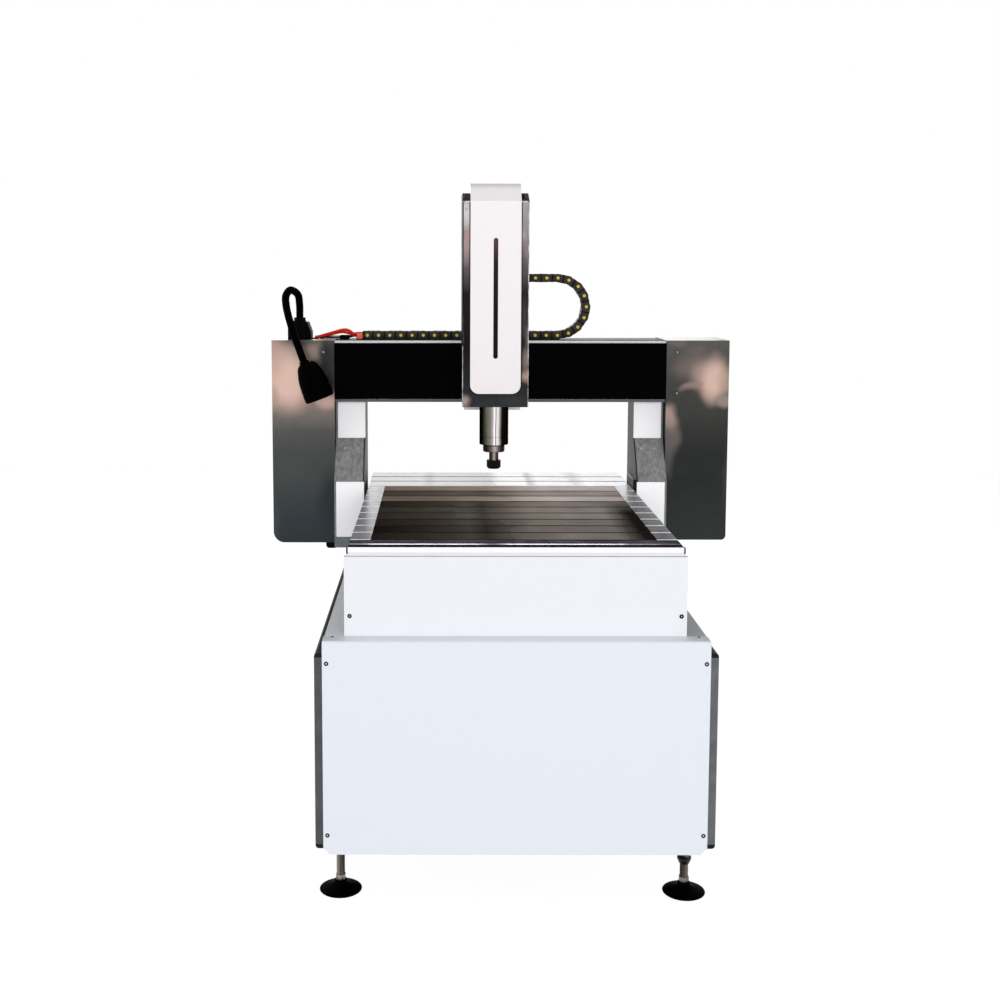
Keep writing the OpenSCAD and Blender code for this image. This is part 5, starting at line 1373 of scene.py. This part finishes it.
# %% Lamp head
LAMP_TILT = math.radians(21)
lamp_turn = Matrix.Rotation(-LAMP_TILT, 3, "Y") @ Matrix.Rotation(math.pi, 3, "X")
cap = Vector((-557.8, 186, 1200.9)) * MM
lamp_middle = cap + lamp_turn @ Vector((0.004, 0, 0.002))
R, L = 42.0, 109.0
bm = bmesh.new()
lathe(bm, [(0, 0.3), (0.47 * R, 0.3), (0.5 * R, 1.0), (0.64 * R, 7), (0.72 * R, 13.5),
           (0.78 * R, 21),
           (0.86 * R, 32), (0.93 * R, 45), (0.935 * R, 46.4), (0.965 * R, 58), (0.985 * R, 74),
           (0.995 * R, 86), (R, L - 9), (0.998 * R, L - 6), (0.985 * R, L - 3), (0.965 * R, L - 1),
           (0.94 * R, L), (0.94 * R - 3, L), (0.94 * R - 3.5, L - 3)], lamp_middle, "Z", 72,
           lamp_turn)
lathe(bm, [(11.0, 2), (11.0, -5.0), (12.6, -5.2), (13.8, -4.2), (13.8, 3)], cap, "Z", 36, lamp_turn)
finish_piece("lamp_shade", bm, lamp_plastic, "gantry", ["lamp_head"])
bm = bmesh.new()
lathe(bm, [(0.94 * R - 3.5, L - 3), (0.6 * R, L - 2.2), (0, L - 1.6)], lamp_middle, "Z", 48,
      lamp_turn)
finish_piece("lamp_lens", bm, lens_plastic, "gantry")
print("lamp head made")

# %% [markdown]
# The spindle is a polished cylinder with a turned groove at each cap, a nose
# and a short shaft that ends in the black collet nut.

# %% Spindle
body_low, body_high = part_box("spindle_body")
axis_at = Vector(((body_low.x + body_high.x) / 2, (body_low.y + body_high.y) / 2, 0))
nose_mm, top_mm = body_low.z / MM, body_high.z / MM
wide = (body_high.x - body_low.x) / MM / 2
bm = bmesh.new()
lathe(bm, [(13.6, nose_mm), (28, nose_mm), (29.4, nose_mm + 0.8), (30, nose_mm + 2.4),
           (30, nose_mm + 3.4), (30, nose_mm + 16.4), (30, nose_mm + 17.4), (31.2, nose_mm + 19.4),
           (33, nose_mm + 20.6), (wide - 1.2, nose_mm + 20.6),
           (wide, nose_mm + 21.8), (wide, nose_mm + 42), (wide - 0.5, nose_mm + 42.5),
           (wide - 0.5, nose_mm + 43.5), (wide, nose_mm + 44), (wide, top_mm - 17),
           (wide - 2, top_mm - 14),
           (12, top_mm - 14), (12, top_mm), (0, top_mm)], axis_at, "Z", 96)
for face in bm.faces:
    face.material_index = 1 if face.calc_center_median().z < (nose_mm + 18) * MM else 0
finish_piece("spindle_sleeve", bm, [spindle_steel, nose_steel], "z_slide",
             ["spindle_body"])
low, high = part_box("spindle_shaft")
bm = bmesh.new()
lathe(bm, [(0, low.z / MM), (12.6, low.z / MM), (12.9, low.z / MM + 0.8), (12.9, low.z / MM + 2),
           (12.9, high.z / MM), (0, high.z / MM)],
      axis_at, "Z", 48)
finish_piece("spindle_nose_shaft", bm, nose_steel, "rotor",
             ["spindle_shaft"])
softened("collet_nut", collet_black, 0.6)
print("spindle made")

# %% [markdown]
# The limit switch on the right column keeps its CAD body. Its light lid is a
# thin plate that stands 0.2 mm proud of it.

# %% Limit switch
plate_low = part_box("y_carriage_plates")[0]
INNER_X = 0.391
bm = bmesh.new()
slab(bm, (INNER_X - 0.0082, plate_low.y + 0.018, 0.8598),
     (INNER_X + 0.0005, plate_low.y + 0.148, 0.8632), 0.6, 2)
finish_piece("limit_switch_lid", bm, trim_grey, "gantry")
print("limit switch made")

# %% [markdown]
# The floor is a plain pale sheet that keeps the machine's shadow. Part of its
# light comes from itself, as on a lit studio table, so the shadow stays pale.
# A wide soft lamp far in front lights the machine evenly. It is kept out of
# reflections, so metals mirror the plain white room and keep their own tones.
# A weaker lamp hangs above and one stands on each side. The world is white to
# the camera and in reflections, and dimmer for light.

# %% Floor, light and world
def seen_directly(tree):
    """1 for camera, glossy and transmission rays, 0 for diffuse light."""
    ray = add(tree, "ShaderNodeLightPath")
    seen = add(tree, "ShaderNodeMath", {0: ray.outputs["Is Camera Ray"],
                                        1: ray.outputs["Is Glossy Ray"]}, operation="MAXIMUM")
    return add(tree, "ShaderNodeMath", {0: seen.outputs[0], 1: ray.outputs["Is Transmission Ray"]},
               operation="MAXIMUM").outputs[0]


def plain_floor():
    material, tree, shader = start("pale_studio_floor", Roughness=0.8, Specular_IOR_Level=0.0)
    cloud = grain(tree, 900.0, detail=2.0)
    seen = seen_directly(tree)
    tone = blend_colour(tree, span(tree, cloud, 0.3, 0.7, 0, 1), "#ececed", "#f2f2f2")
    tree.links.new(blend_colour(tree, seen, tone, "#7c7c7c"), shader.inputs["Base Color"])
    shader.inputs["Emission Color"].default_value = (1, 1, 1, 1)
    tree.links.new(span(tree, seen, 0, 1, 0, FLOOR_GLOW), shader.inputs["Emission Strength"])
    return material


FLOOR_GLOW = 0.94
bm = bmesh.new()
bmesh.ops.create_grid(bm, x_segments=1, y_segments=1, size=6.0)
floor = finish_piece("floor", bm, plain_floor(), None)

LIGHTS = {
    "front_wide": ((0.3, -9.0, 1.9), (0, 0, 0.9), 5.0, 3.6, 500),
    "key_above": ((0.0, -1.6, 4.6), (0, 0.1, 0.9), 3.0, 2.6, 22),
    "side_left": ((-4.2, -1.6, 2.0), (0, 0, 0.9), 2.0, 2.8, 30),
    "side_right": ((4.2, -1.6, 2.0), (0, 0, 0.9), 2.0, 2.8, 30),
    "rear_soft": ((0.0, 5.0, 2.6), (0, 0, 0.9), 3.4, 2.4, 50),
}
for name, (spot, aim, wide_m, high_m, power) in LIGHTS.items():
    data = bpy.data.lights.new(name, "AREA")
    data.shape = "RECTANGLE"
    data.size, data.size_y = wide_m, high_m
    data.energy = power
    lamp = bpy.data.objects.new(name, data)
    lamp.location = spot
    lamp.rotation_euler = (Vector(aim) - Vector(spot)).to_track_quat("-Z", "Y").to_euler()
    lamp.visible_glossy = name != "front_wide"
    bpy.context.scene.collection.objects.link(lamp)

world = bpy.data.worlds.new("studio")
bpy.context.scene.world = world
world.use_nodes = True
tree = world.node_tree
tree.nodes.clear()
soft = add(tree, "ShaderNodeBackground", {"Color": (1, 1, 1, 1), "Strength": 0.24})
white = add(tree, "ShaderNodeBackground", {"Color": (1, 1, 1, 1), "Strength": 1.0})
mixed = add(tree, "ShaderNodeMixShader", {0: seen_directly(tree)})
tree.links.new(soft.outputs[0], mixed.inputs[1])
tree.links.new(white.outputs[0], mixed.inputs[2])
out_node = add(tree, "ShaderNodeOutputWorld")
tree.links.new(mixed.outputs[0], out_node.inputs["Surface"])
print("stage ready")
